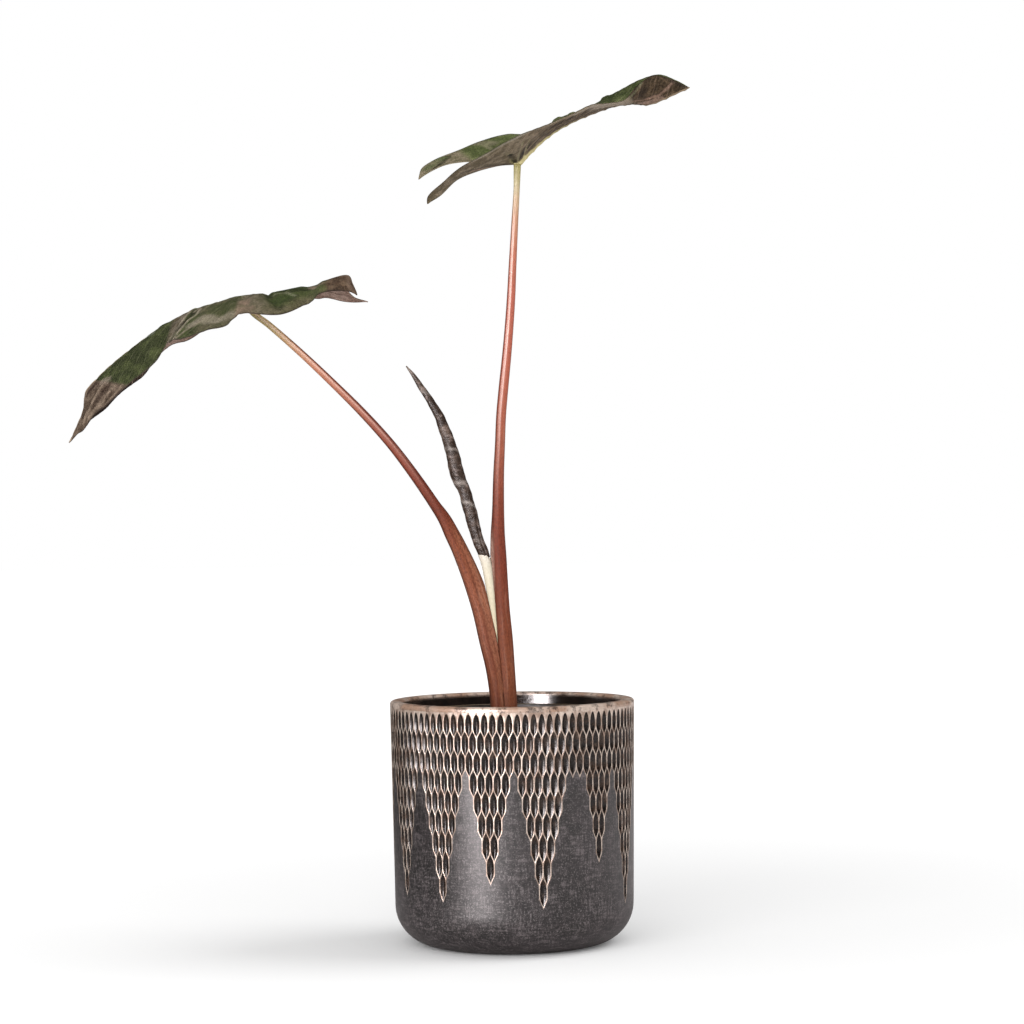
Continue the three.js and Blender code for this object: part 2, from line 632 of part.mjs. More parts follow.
// The youngest stalk is the innermost, so each older one is cut to fit round the younger ones.
const belowCrown = new THREE.BoxGeometry(CORM_RADIUS * 8, CORM_RADIUS * 8, CORM_RADIUS * 2);
belowCrown.translate(0, 0, SOIL_HEIGHT + GAP - CORM_RADIUS);
const grownNewStalk = loft(NEW_STALK, STALK_SIDES, GAP);
const grownRightStalk = loft(RIGHT_STALK, STALK_SIDES, GAP);
const grownRolledBlade = loft(ROLLED_BLADE, ROLLED_SIDES, GAP);
const newStalk = cut(loft(NEW_STALK, STALK_SIDES), belowCrown, grownRolledBlade);
const rightStalk = cut(
  loft(RIGHT_STALK, STALK_SIDES),
  belowCrown,
  grownNewStalk,
  makeBlade(RIGHT_BLADE, GAP),
);
const leftStalk = cut(
  loft(LEFT_STALK, STALK_SIDES),
  belowCrown,
  grownNewStalk,
  grownRightStalk,
  makeBlade(LEFT_BLADE, GAP),
);

const pottedAlocasia = new THREE.Group();
pottedAlocasia.add(
  piece('pot', makePot()),
  piece('nursery_pot', makeNurseryPot()),
  piece('soil', makeSoil()),
  piece('corm', makeCorm()),
  piece('petiole_left', leftStalk),
  piece('petiole_right', rightStalk),
  piece('petiole_new', newStalk),
  piece('blade_left', makeBlade(LEFT_BLADE)),
  piece('blade_right', makeBlade(RIGHT_BLADE)),
  piece('blade_new', loft(ROLLED_BLADE, ROLLED_SIDES)),
);

export default pottedAlocasia;
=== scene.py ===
# Looks of a young alocasia in a black growing pot, which stands in a carved stoneware cover pot.
# Lengths are in millimetres here and become metres when a mesh is made. +Z is up and -Y is the front.
import math
import random

import bmesh
import bpy
import numpy as np
from mathutils import Matrix, Vector, noise


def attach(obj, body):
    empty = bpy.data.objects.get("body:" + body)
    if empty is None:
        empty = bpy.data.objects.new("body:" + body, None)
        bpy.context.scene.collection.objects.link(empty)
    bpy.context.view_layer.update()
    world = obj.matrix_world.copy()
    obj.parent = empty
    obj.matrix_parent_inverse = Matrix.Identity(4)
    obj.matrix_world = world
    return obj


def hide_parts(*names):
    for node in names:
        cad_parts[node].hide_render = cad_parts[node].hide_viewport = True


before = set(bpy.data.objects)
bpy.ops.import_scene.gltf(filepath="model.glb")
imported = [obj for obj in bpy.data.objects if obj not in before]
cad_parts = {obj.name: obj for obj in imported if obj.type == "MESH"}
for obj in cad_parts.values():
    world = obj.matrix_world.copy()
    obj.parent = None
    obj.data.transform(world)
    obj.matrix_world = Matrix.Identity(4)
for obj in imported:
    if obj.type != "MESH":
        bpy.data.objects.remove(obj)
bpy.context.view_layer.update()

MM = 0.001

# Cover pot
POT_HEIGHT = 149
POT_RIM_RADIUS = 75
POT_LOW_RADIUS = 73.2
POT_CORNER_RADIUS = 24.6
POT_WALL = 8.6
POT_FLOOR = 9.5
POT_INNER_FILLET = 12
LIP_ROUNDING = 2
INNER_FLARE = 0.9
FLARE_BOTTOM = 139

# Carving: rows of lens-shaped cuts, each row half a column aside from the row above.
# The rows are carved by hand, so the lowest one leans down to the right by the row lean.
COLUMNS = 96
ROWS = 9
FULL_ROWS = 3
FIRST_ROW_HEIGHT = 138.8
FIRST_ROW_TOP = 145
FIRST_ROW_PITCH = 11.4
PITCH_GROWTH = 0.26
STRAIGHT_SHARE = 0.535
ROW_LEAN = 4.1
ODD_ROW_TURN = 0.6
EVEN_ROW_TURN = 0.1
ICICLES = [
    (-16.4, 9), (-9.4, 9), (-2.9, 8), (3.6, 9), (11.6, 7), (17.6, 9), (24.1, 8),
    (31.6, 9), (38.6, 7), (45.6, 9), (52.1, 8), (59.6, 9), (65.6, 7), (73.1, 9),
]
SLANT_STEPS = 4
STRAIGHT_STEPS = 6
CARVED_STEPS = 8
CARVE_DEPTH = 1.5
# Half widths of the cuts and of the ridge between two cuts, in columns
CUT_HALF = 0.475
FIRST_CUT_HALF = 0.435
HALF_RIDGE = 0.05
RIDGE_FADE = 0.08
# How late a cut narrows towards its tips, and how round its bottom is, from 1 for a sharp V
CUT_POINT = 2
CUT_ROUNDING = 1.35
# Heights and radii of rings of the cover pot
LIP_FOOT = 146.2
LIP_FLAT_OUTER = 71.8
LIP_FLAT_INNER = 70.4
LIP_SWELL = 0.05
FLARE_TOP = POT_HEIGHT - 3
CORNER_TOP = 25.4
BASE_RING_RADIUS = 24
FLOOR_RING_INSET = 32
# Millimetres from the nearest ridge, negative beside it: far from one, and beside an uncut one
FAR_FROM_RIDGE = -9.0
BESIDE_UNCUT_RIDGE = -0.35

# Growing pot
GAP = 0.3
NURSERY_RIM_HEIGHT = 142
NURSERY_RIM_RADIUS = 62.5
NURSERY_TOP_RADIUS = 60.5
NURSERY_BASE_RADIUS = 47
NURSERY_WALL = 1.2
NURSERY_COLLAR = 8
DRAIN_HOLES = 8
DRAIN_RADIUS = 4
DRAIN_CIRCLE = 33
NURSERY_BEAD = 0.9
NURSERY_SIDES = 144
DRAIN_SIDES = 24
NURSERY_BOTTOM = POT_FLOOR + GAP
NURSERY_FLOOR = NURSERY_BOTTOM + NURSERY_WALL
COLLAR_HEIGHT = NURSERY_RIM_HEIGHT - NURSERY_COLLAR

# Soil and corm
SOIL_HEIGHT = 128
SOIL_DROP = 2.5
SOIL_LUMP = 0.7
CORM_CENTRE = -4.7
CORM_RADIUS = 10.7
CORM_CROWN = 9.2
CORM_BOTTOM = 88
CORM_SIDES = 72
SOIL_SIDES = 216
SOIL_RINGS = 44
CRUMBS = 520
PALE_CRUMB_SHARE = 0.12

# Stalks and the rolled blade: x, y, z of the centre, then the reach to the left, to the right and to
# the front and back. A single reach is the same all round.
STALK_SIDES = 48
STALK_STEPS = 14
ROLLED_SIDES = 56
ROLLED_STEPS = 12
ROLLED_CUTTER_STEPS = 6
PATH_STEPS = 6
WING_THINNING = 0.42
STALK_SHADE = 0.8
LEFT_STALK = [
    (-8.2, 0, 122, 5, 8.5, 6.9), (-8.7, 0, 148, 4.8, 8.5, 6.6), (-11.1, 0, 167, 4.7, 8.3, 6.3),
    (-15.2, 0, 185, 4.6, 8.2, 5.8), (-19.5, 0, 204, 4.4, 8, 5.1), (-25, 0, 222, 4.2, 7.7, 4.5),
    (-32, 0, 241, 3.9, 6, 4), (-36.1, 0, 250, 3.8, 5.6, 3.8), (-40.5, 0, 260, 3.6, 4.4, 3.6),
    (-46, 0, 269, 3.3), (-58, -1.5, 287, 3.05), (-72, -3.5, 306, 2.8), (-88.5, -6.5, 325, 2.6),
    (-106, -9.5, 343, 2.35), (-125.5, -12, 362, 2.15), (-145.5, -13.5, 380, 2),
    (-155.5, -14, 388, 1.9), (-161, -14, 396.4, 2.2),
]
RIGHT_STALK = [
    (-2, 0, 122, 7, 5.8, 5.6), (-2.3, 0, 148, 6.8, 5.4, 5.4), (-3, 0, 167, 6.6, 5.1, 5.2),
    (-3.8, 0, 185, 6.4, 4.9, 5), (-5.2, 0, 204, 6.4, 4.6, 4.7), (-6, 0, 222, 6.4, 4.4, 4.5),
    (-6.4, 0, 235, 6, 4.2, 4.3), (-7, 0, 250, 4.9, 3.9, 4), (-7.1, 0, 260, 4, 3.8, 3.8),
    (-7, 0, 268, 3.65), (-6.5, 1, 287, 3.35), (-5.5, 2, 305, 3.1), (-4.5, 3, 324, 3.05),
    (-2.7, 4.5, 342, 3), (-0.6, 6.5, 361, 2.85), (1.2, 8, 380, 2.7), (2.6, 10, 398, 2.6),
    (3.7, 11.5, 417, 2.4), (5.5, 13, 445, 2.1), (6.8, 14, 464, 1.9), (7.4, 14, 479.5, 2.3),
]
NEW_STALK = [
    (-7, 0, 122, 2.6), (-8, 0, 148, 2.6), (-8.4, 0, 167, 2.6), (-9.3, 0, 190, 2.7),
    (-10.6, 0, 204, 2.8), (-12.6, 0, 220, 3), (-15, 0, 234, 3.4), (-18, 0, 242, 3.2),
]
ROLLED_BLADE = [
    (-14.2, 0, 235.5, 2.2), (-16.6, 0, 239.5, 3.5), (-20.6, 0, 250, 3.5), (-22.9, 0, 259.5, 4),
    (-25.3, 0, 268.5, 4), (-27.9, 0, 278, 3.7), (-31.8, 0, 287, 4.5), (-33.8, 0, 296.5, 4.3),
    (-36.2, 0, 305.5, 3.8), (-39.5, 0, 315, 3.4), (-43, 0, 324, 2.8), (-48.4, 0, 333.5, 2.2),
    (-54.5, 0, 343, 1.8), (-59, 0, 350, 1.1), (-62.5, 0, 354.5, 0.4),
]

# Open blades, as lines across the leaf
BLADE_THICKNESS = 0.6
MIDRIB_HEIGHT = 1
MIDRIB_FLARE = 1.7
MIDRIB_FLARE_LENGTH = 20
MIDRIB_WIDTH = 1.1
MIDRIB_FLARE_WIDTH = 1.2
MIDRIB_START = -2.5
# Stands for a place far away from a rib
FAR_FROM_RIB = 40.0
VEIN_SPACING = 13
LEFT_QUILTING = 0.12
RIGHT_QUILTING = 0.3
RIB_STEPS = 13
SHARE_STEPS = 52
CUTTER_RIB_STEPS = 5
CUTTER_SHARE_STEPS = 20
FULL_CROWN_WIDTH = 30
LEFT_BLADE = {
    "crown": 3,
    "lobes": [
        [(-89.7, -40, 395.5), (-89.7, -40, 395.5), (-86, 12, 395.5), (-86, 12, 395.5)],
        [(-94, -47, 397), (-92.9, -34, 402.5), (-94, 6, 397), (-94, 19, 395.5)],
        [(-101, -52, 397), (-95.8, -30, 408), (-100, 1, 402.5), (-102, 24, 396.5)],
        [(-111, -57, 395.5), (-110, -26, 404.5), (-112, -3, 404), (-114, 29, 399.5)],
        [(-122, -61, 387.5), (-126, -22, 402), (-127, -7, 401.5), (-127, 33, 401)],
        [(-133, -64, 382.5), (-144, -18, 399), (-145, -10, 399), (-142, 35, 398)],
    ],
    "ribs": [
        [(-151, -64, 383.5), (-161, -14, 397.5), (-160, 34, 394.5)],
        [(-159.5, -64, 384.5), (-168, -14, 396), (-170, 34, 394)],
        [(-166, -62, 376.5), (-178, -14, 393.5), (-178, 33, 386.5)],
        [(-179, -60, 373.5), (-186, -14, 391.5), (-188, 32, 381.5)],
        [(-192, -57, 369.5), (-194, -14, 388.5), (-200, 30, 374)],
        [(-202, -53, 367), (-202, -14, 384.5), (-210, 28, 371)],
        [(-209, -54, 357), (-212, -14, 379), (-218, 25, 364)],
        [(-218, -51, 349.5), (-222, -14, 372), (-227, 22, 352)],
        [(-228, -45, 342.5), (-232, -14, 364.5), (-234, 19, 346.5)],
        [(-240, -38, 332.5), (-242, -14, 356.5), (-242, 16, 339.5)],
        [(-250, -29, 326.5), (-250, -14, 349), (-249, 11, 331)],
        [(-256, -23, 319.5), (-257.5, -14, 340.5), (-256, 4, 325)],
        [(-259, -20, 316.5), (-259, -14, 330), (-261, -4, 319)],
        [(-263, -17, 314.5), (-263, -14, 320), (-264, -10, 314.5)],
        [(-268, -14, 309.5), (-268, -14, 309.5), (-268, -14, 309.5)],
    ],
}
RIGHT_BLADE = {
    "crown": -1,
    "lobes": [
        [(-48, -16, 452.5), (-48, -16, 452.5), (-55, 42, 474.5), (-55, 42, 474.5)],
        [(-47, -21, 456), (-40, -10, 458), (-46, 36, 479), (-53, 48, 482)],
        [(-39, -26, 463.5), (-30, -4, 468), (-37, 31, 482), (-46, 53, 487)],
        [(-28, -31, 472), (-19, 2, 473.5), (-22, 25, 483), (-34, 58, 493)],
        [(-10, -34, 481), (-5, 9, 478), (-6, 19, 481), (-16, 62, 500.5)],
    ],
    "ribs": [
        [(7, -34, 490.5), (7, 14, 480), (2, 62, 505)],
        [(15, -33, 493.5), (14, 14, 486.5), (12, 62, 504.5)],
        [(24, -32, 497), (22, 14, 493.5), (23, 61, 508)],
        [(33, -30, 501), (32, 14, 500.5), (34, 59, 514)],
        [(43, -28, 505), (44, 14, 506.5), (45, 57, 517)],
        [(53, -25, 510), (56, 14, 511), (56, 54, 521.5)],
        [(62, -22, 511.5), (67, 14, 514.5), (66, 50, 526.5)],
        [(73, -17, 514), (79, 14, 516), (76, 45, 530.5)],
        [(81, -10, 523), (90, 14, 515.5), (86, 38, 535)],
        [(92, -2, 531), (100, 14, 519), (97, 30, 536.5)],
        [(104, 6, 529.5), (108, 14, 522.5), (107, 22, 531.5)],
        [(115, 14, 525.5), (115, 14, 525.5), (115, 14, 525.5)],
    ],
}

# Painted highlights, as pale bands across the rolled leaf: height and strength
ROLLED_GLINTS = [(340, 0.35), (303, 0.4), (281, 0.5), (269, 0.6), (246, 0.2)]

# Waves of the open blades: lift, half (0 is the near one), width, and the line that the wave follows.
# A line goes through places, each a run along the midrib and a distance from it.
LEFT_FOLDS = [
    (-1.7, 0, 7, [(8, 52), (5, 40), (3, 28), (1, 12)]),
    (0.9, 0, 7, [(-7, 40), (-6, 24), (-5, 12)]),
    (-1.7, 0, 5, [(-17, 40), (-16, 22), (-14, 1)]),
    (-1.7, 1, 5, [(-14, 1), (-16, 40)]),
    (0.8, 0, 9, [(22, 30), (18, 14)]),
    (0.8, 0, 8, [(-30, 34), (-31, 16)]),
    (-1.2, 0, 8, [(-43, 36), (-44, 22), (-45, 1)]),
    (-1.2, 1, 8, [(-44, 1), (-44, 40)]),
    (1, 0, 7, [(60, 30), (52, 8)]),
    (-0.8, 0, 5, [(52, 40), (42, 12)]),
]
RIGHT_FOLDS = [
    (0.9, 1, 4, [(30, 28), (32, 60)]),
    (0.9, 1, 4, [(42, 24), (44, 60)]),
    (1.1, 1, 4, [(66, 16), (69, 60)]),
]
# Painted marks on the open blades: colour, strength, half, side (1 is the underside), width and line
LEFT_STROKES = [
    # Painted highlight along the edge of the brown tip
    ("96867a", 0.6, 0, 0, 3, [(98, 12), (93, 17)]),
    ("93806f", 0.8, 0, 0, 1.6, [(96, 16), (101, 16), (106, 18), (111, 19), (122, 14)]),
    ("93806f", 0.7, 0, 0, 1.6, [(88, 28), (94, 27), (98, 28), (102, 25), (112, 22)]),
    ("93806f", 0.6, 0, 0, 1.6, [(83, 34), (88, 34), (93, 33)]),
    # Painted shadow: two dark patches along the lower margin near the tip
    ("38261d", 0.9, 0, 0, 3, [(92, 22), (98, 22), (104, 21)]),
    ("38261d", 0.9, 0, 0, 3, [(104, 6), (112, 6)]),
    ("8d948a", 0.6, 0, 0, 2, [(68, 1), (63, 3), (58, 7)]),
    ("a09382", 0.95, 0, 0, 1.3, [(30, 0), (33, 6), (35, 16), (38, 30), (41, 37), (44, 43)]),
    ("a09382", 0.95, 0, 0, 1.3, [(27, 13), (29, 23), (33, 26), (36, 33), (38, 37), (40, 43)]),
    ("8d8070", 0.8, 0, 0, 1.4, [(29, 36), (32, 38), (34, 39), (37, 42), (39, 44)]),
    # Painted shade: two thin dark lines in the crease
    ("2a2418", 0.85, 0, 0, 1.8, [(36, 26), (40, 36), (42, 42)]),
    ("2a2418", 0.8, 0, 0, 1.8, [(31, 14), (33, 21), (36, 28)]),
    ("8f8272", 0.7, 0, 0, 1.5, [(30, 13), (27, 9), (24, 10)]),
    ("80795f", 0.7, 0, 0, 1.6, [(26, 22), (22, 10), (17, 3), (8, 16)]),
    ("3b441f", 0.9, 0, 0, 13, [(16, 26), (11, 32)]),
    ("8c8271", 0.9, 0, 0, 5, [(31, 35), (28, 33), (25, 35), (23, 40), (21, 42), (17, 42), (12, 48)]),
    ("57513c", 0.8, 0, 0, 4, [(27, 44), (24, 46), (20, 49), (16, 49)]),
    ("8f7866", 0.9, 0, 0, 5, [(8, 50), (5, 43), (3, 34), (1, 22)]),
    ("7d6958", 0.7, 0, 0, 6, [(3, 50), (1, 44)]),
    ("2b2c1c", 0.8, 0, 0, 1.5, [(-12, 27), (-15, 29)]),
    ("2b2c1c", 0.8, 0, 0, 1.5, [(-15, 35), (-19, 38)]),
    ("3e4d22", 0.9, 0, 0, 10, [(-19, 26), (-25, 27)]),
    ("7c7c62", 0.8, 0, 0, 2, [(-18, 11), (-21, 14), (-25, 16), (-29, 25), (-32, 29)]),
    ("3c4a26", 0.8, 0, 0, 8, [(-30, 4), (-37, 9)]),
    ("95806f", 0.9, 0, 0, 4, [(-44, 14), (-47, 20), (-52, 19)]),
    ("2e2118", 0.9, 0, 0, 2.2, [(-52, 32), (-59, 30), (-66, 27), (-71, 20)]),
    ("5a5f38", 0.7, 0, 0, 6, [(-46, 28), (-55, 28)]),
    ("7d6757", 0.7, 0, 0, 5, [(-72, 6), (-75, 11), (-80, 7)]),
    ("c4a698", 0.8, 1, 1, 3, [(-51, 28), (-58, 22), (-64, 14)]),
    ("6b5045", 0.6, 1, 1, 1.2, [(-48, 25), (-60, 20), (-70, 8)]),
]
RIGHT_STROKES = [
    ("c9c089", 0.9, 0, 1, 2, [(-1, 0), (-2.5, 5), (-3.5, 12)]),
    ("a99c7e", 0.9, 0, 1, 1.4, [(-3.5, 10), (-4.5, 23), (-6, 30)]),
    # Painted shade: the next two dark marks sit in the V between the basal ribs
    ("120e06", 1, 0, 1, 2.8, [(-1, 5), (-2.5, 13), (-3.5, 22)]),
    ("0f0c05", 1, 0, 1, 5, [(1.5, 4), (4, 8), (6, 15), (9, 22)]),
    ("b0a484", 0.9, 0, 1, 1.3, [(1, 4), (1.5, 13), (2.5, 20), (4, 28), (4.5, 36)]),
    ("b8ab88", 0.9, 0, 1, 1.4, [(6, 1), (7, 10), (8, 19), (9, 25), (10, 32)]),
    # Painted shade: a dark line between two pale ribs
    ("2f2718", 0.9, 0, 1, 2.8, [(10, 3), (13, 10), (18, 17), (22, 27)]),
    ("8d806a", 0.6, 0, 1, 1.5, [(13, 5), (17, 13), (22, 22), (25, 34)]),
    ("cbbfa8", 0.9, 0, 1, 2.6, [(-21, 39), (-11, 44), (-1, 48), (12, 48), (22, 47), (32, 45)]),
    ("3b3024", 0.8, 0, 1, 2.5, [(-31, 22), (-25, 15), (-19, 11), (-12, 5), (-4, 2)]),
    ("b99c8b", 0.8, 0, 1, 2.5, [(-27, 14), (-20, 7), (-12, 2)]),
    ("4a5529", 0.9, 1, 0, 9, [(-19, 38), (-18, 26)]),
    ("4c572b", 0.8, 1, 0, 7, [(-5, 47), (2, 48)]),
    ("7d7261", 0.8, 1, 0, 6, [(-15, 45), (-10, 41)]),
    ("857b66", 0.7, 1, 0, 2, [(-13, 38), (-11, 32)]),
    ("38351e", 0.9, 1, 0, 3, [(-36, 28), (-42, 19), (-50, 6), (-56, 2)]),
    ("5d6640", 0.8, 1, 0, 5, [(-40, 27), (-47, 20), (-57, 9)]),
    ("323e19", 0.95, 1, 0, 14, [(68, 30), (76, 29), (90, 26)]),
    ("8a8a6c", 0.7, 0, 1, 1.6, [(97, 29), (96, 25), (91, 24), (87, 26)]),
    ("2c2117", 0.8, 0, 1, 5, [(93, 17), (99, 21)]),
    ("a98877", 0.8, 0, 1, 1.6, [
        (112, 10), (108, 8), (105, 7), (101, 6), (98, 8), (95, 9), (90, 11), (86, 16),
    ]),
    ("c2a08f", 0.7, 0, 1, 4, [(88, 6), (94, 4), (101, 2)]),
    ("241c14", 0.8, 0, 1, 1.5, [(85, 13), (87, 4), (88, 1)]),
    ("1e1a15", 0.9, 0, 1, 2.5, [(109, 17), (112, 12), (116, 6), (119, 1)]),
    ("c3b6a6", 0.8, 0, 1, 3, [(46, 37), (61, 34), (73, 31)]),
    ("3a2c1c", 0.8, 0, 1, 2, [(37, 32), (52, 25), (60, 20), (68, 17)]),
]

# Columns of the table of facts that a blade keeps for each of its points
HALF, RUN, SHARE, ACROSS, LENGTH, WIDTH, SIDE = range(7)

# Photograph's view
CAMERA_PLACE = (1.43, -1700, 264)
CAMERA_ROLL = -0.01245
CAMERA_LENS = 97.2
SENSOR_WIDTH = 36
VIEW_DEPTH = 100

# Studio
WORLD_LIGHT = 0.82
WORLD_MIRRORED = 0.03
SUN_LIGHT = 1.4
SUN_PLACE = (0.75, 0.12, 0.65)
SUN_SPREAD = 42
FLOOR_HALF = 12000
FLOOR_GLOW = 0.07
FAR_FLOOR_GLOW = 0.35
LIT_PLACE = (0, 0, 110)
LIGHT_DISTANCE = 1500
# Name, turn from the front to the right and rise in degrees, then the width, the height, the power,
# whether only reflections see it, as only diffuse light does otherwise, and the colour
STUDIO_LIGHTS = [
    ("front_strip", -31, 13.6, 500, 900, 46, True, "fff6f7"),
    ("front_fill", -20, 15, 1500, 900, 21, False, "ffffff"),
]


# Numbers and colours
def colour(text):
    """Linear red, green, blue of a colour written as six hexadecimal digits."""
    parts = [int(text[i:i + 2], 16) / 255 for i in (0, 2, 4)]
    return np.array([c / 12.92 if c <= 0.04045 else ((c + 0.055) / 1.055) ** 2.4 for c in parts])


def ease(value, low, high):
    """0 below low, 1 above high and smooth between them."""
    share = np.clip((np.asarray(value, float) - low) / (high - low), 0, 1)
    return share * share * (3 - 2 * share)


def blend_colours(first, second, share):
    share = np.asarray(share)[..., None]
    return first * (1 - share) + second * share


def tinted(paint, text, share):
    """Lays a colour over the paint, by a share."""
    return blend_colours(paint, colour(text), share)


def waves(points, size, seed):
    """A smooth, wavy field from about -1 to 1, with humps of about the given size."""
    draw = np.random.default_rng(seed)
    total = np.zeros(len(points))
    for _ in range(7):
        direction = draw.normal(size=3)
        direction /= np.linalg.norm(direction)
        stretch = size * draw.uniform(0.7, 1.6)
        total += np.sin(points @ direction * (math.pi / stretch) + draw.uniform(0, 6.28))
    return total / 3.5


def field(points, size, seed):
    """Perlin noise at each point, from about -1 to 1."""
    shift = Vector((seed * 17.3, seed * 5.1, seed * 9.7))
    return np.array([noise.noise(Vector(point) / size + shift) for point in points])


# Meshes
def make_object(name, points, faces):
    mesh = bpy.data.meshes.new(name)
    mesh.from_pydata((np.asarray(points, float) * MM).tolist(), [], faces)
    mesh.update()
    mesh.polygons.foreach_set("use_smooth", [True] * len(mesh.polygons))
    made = bpy.data.objects.new(name, mesh)
    bpy.context.scene.collection.objects.link(made)
    return made


def places(piece):
    found = np.zeros(len(piece.data.vertices) * 3)
    piece.data.vertices.foreach_get("co", found)
    return found.reshape(-1, 3) / MM


def store(piece, name, values):
    """Keeps one number or one colour per point on the mesh, for the material to read."""
    values = np.asarray(values, float)
    if values.ndim == 1:
        layer = piece.data.attributes.new(name, "FLOAT", "POINT")
        layer.data.foreach_set("value", values.astype(np.float32))
    else:
        layer = piece.data.attributes.new(name, "FLOAT_COLOR", "POINT")
        whole = np.hstack([values, np.ones((len(values), 1))])
        layer.data.foreach_set("color", whole.astype(np.float32).ravel())


def dress(piece, node, material):
    """Lets a piece stand for its solid."""
    piece.data.materials.clear()
    piece.data.materials.append(material)
    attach(piece, "root")
    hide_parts(node)


def keep_largest(piece):
    """Drops every loose part but the largest one."""
    mesh = bmesh.new()
    mesh.from_mesh(piece.data)
    unseen = set(mesh.verts)
    parts = []
    while unseen:
        front = [unseen.pop()]
        part = list(front)
        while front:
            for edge in front.pop().link_edges:
                for vertex in edge.verts:
                    if vertex in unseen:
                        unseen.remove(vertex)
                        front.append(vertex)
                        part.append(vertex)
        parts.append(part)
    parts.sort(key=len)
    for part in parts[:-1]:
        bmesh.ops.delete(mesh, geom=part, context="VERTS")
    mesh.to_mesh(piece.data)
    mesh.free()


def cut(piece, *cutters):
    """Takes the other shapes away from the piece and deletes them."""
    for cutter in cutters:
        change = piece.modifiers.new("cut", "BOOLEAN")
        change.operation = "DIFFERENCE"
        change.solver = "EXACT"
        change.object = cutter
    seen = piece.evaluated_get(bpy.context.evaluated_depsgraph_get())
    mesh = bpy.data.meshes.new_from_object(seen)
    piece.modifiers.clear()
    old, piece.data = piece.data, mesh
    bpy.data.meshes.remove(old)
    for cutter in cutters:
        bpy.data.objects.remove(cutter)
    keep_largest(piece)
    piece.data.polygons.foreach_set("use_smooth", [True] * len(piece.data.polygons))
    return piece


# Curves
def rail(points, steps):
    """Centripetal Catmull-Rom curve through the points, with this many steps between two of them."""
    points = np.asarray(points, float)
    first = 2 * points[0] - points[1]
    last = 2 * points[-1] - points[-2]
    whole = np.vstack([first, points, last])
    found = []
    for i in range(len(points) - 1):
        a, b, c, d = whole[i:i + 4]
        gaps = [np.sum((q - p) ** 2) ** 0.25 for p, q in ((a, b), (b, c), (c, d))]
        middle = gaps[1] if gaps[1] > 1e-4 else 1
        before = gaps[0] if gaps[0] > 1e-4 else middle
        after = gaps[2] if gaps[2] > 1e-4 else middle
        start = ((b - a) / before - (c - a) / (before + middle) + (c - b) / middle) * middle
        end = ((c - b) / middle - (d - b) / (middle + after) + (d - c) / after) * middle
        for step in range(steps):
            t = step / steps
            found.append(
                b + start * t + (3 * c - 3 * b - 2 * start - end) * t ** 2
                + (2 * b - 2 * c + start + end) * t ** 3
            )
    found.append(points[-1])
    return np.array(found)


def unit(vectors):
    return vectors / np.maximum(np.linalg.norm(vectors, axis=-1, keepdims=True), 1e-9)


# Turned shapes
def turned(profile, sides):
    """Points and faces of a closed turned shape, whose profile starts and ends on the axis."""
    points = [(0, 0, profile[0][1])]
    faces = []
    inner = profile[1:-1]
    for radius, height in inner:
        for i in range(sides):
            turn = i / sides * math.tau
            points.append((radius * math.cos(turn), radius * math.sin(turn), height))
    points.append((0, 0, profile[-1][1]))
    for ring in range(len(inner) - 1):
        low = 1 + ring * sides
        for i in range(sides):
            beside = (i + 1) % sides
            faces.append((low + i, low + beside, low + sides + beside, low + sides + i))
    last = 1 + (len(inner) - 1) * sides
    for i in range(sides):
        beside = (i + 1) % sides
        faces.append((0, 1 + beside, 1 + i))
        faces.append((len(points) - 1, last + i, last + beside))
    return points, faces


def arc(centre, radius, start, end, steps):
    """Profile points on an arc. Angles are in degrees, from the outward direction upwards."""
    found = []
    for step in range(steps + 1):
        turn = math.radians(start + (end - start) * step / steps)
        found.append((centre[0] + radius * math.cos(turn), centre[1] + radius * math.sin(turn)))
    return found


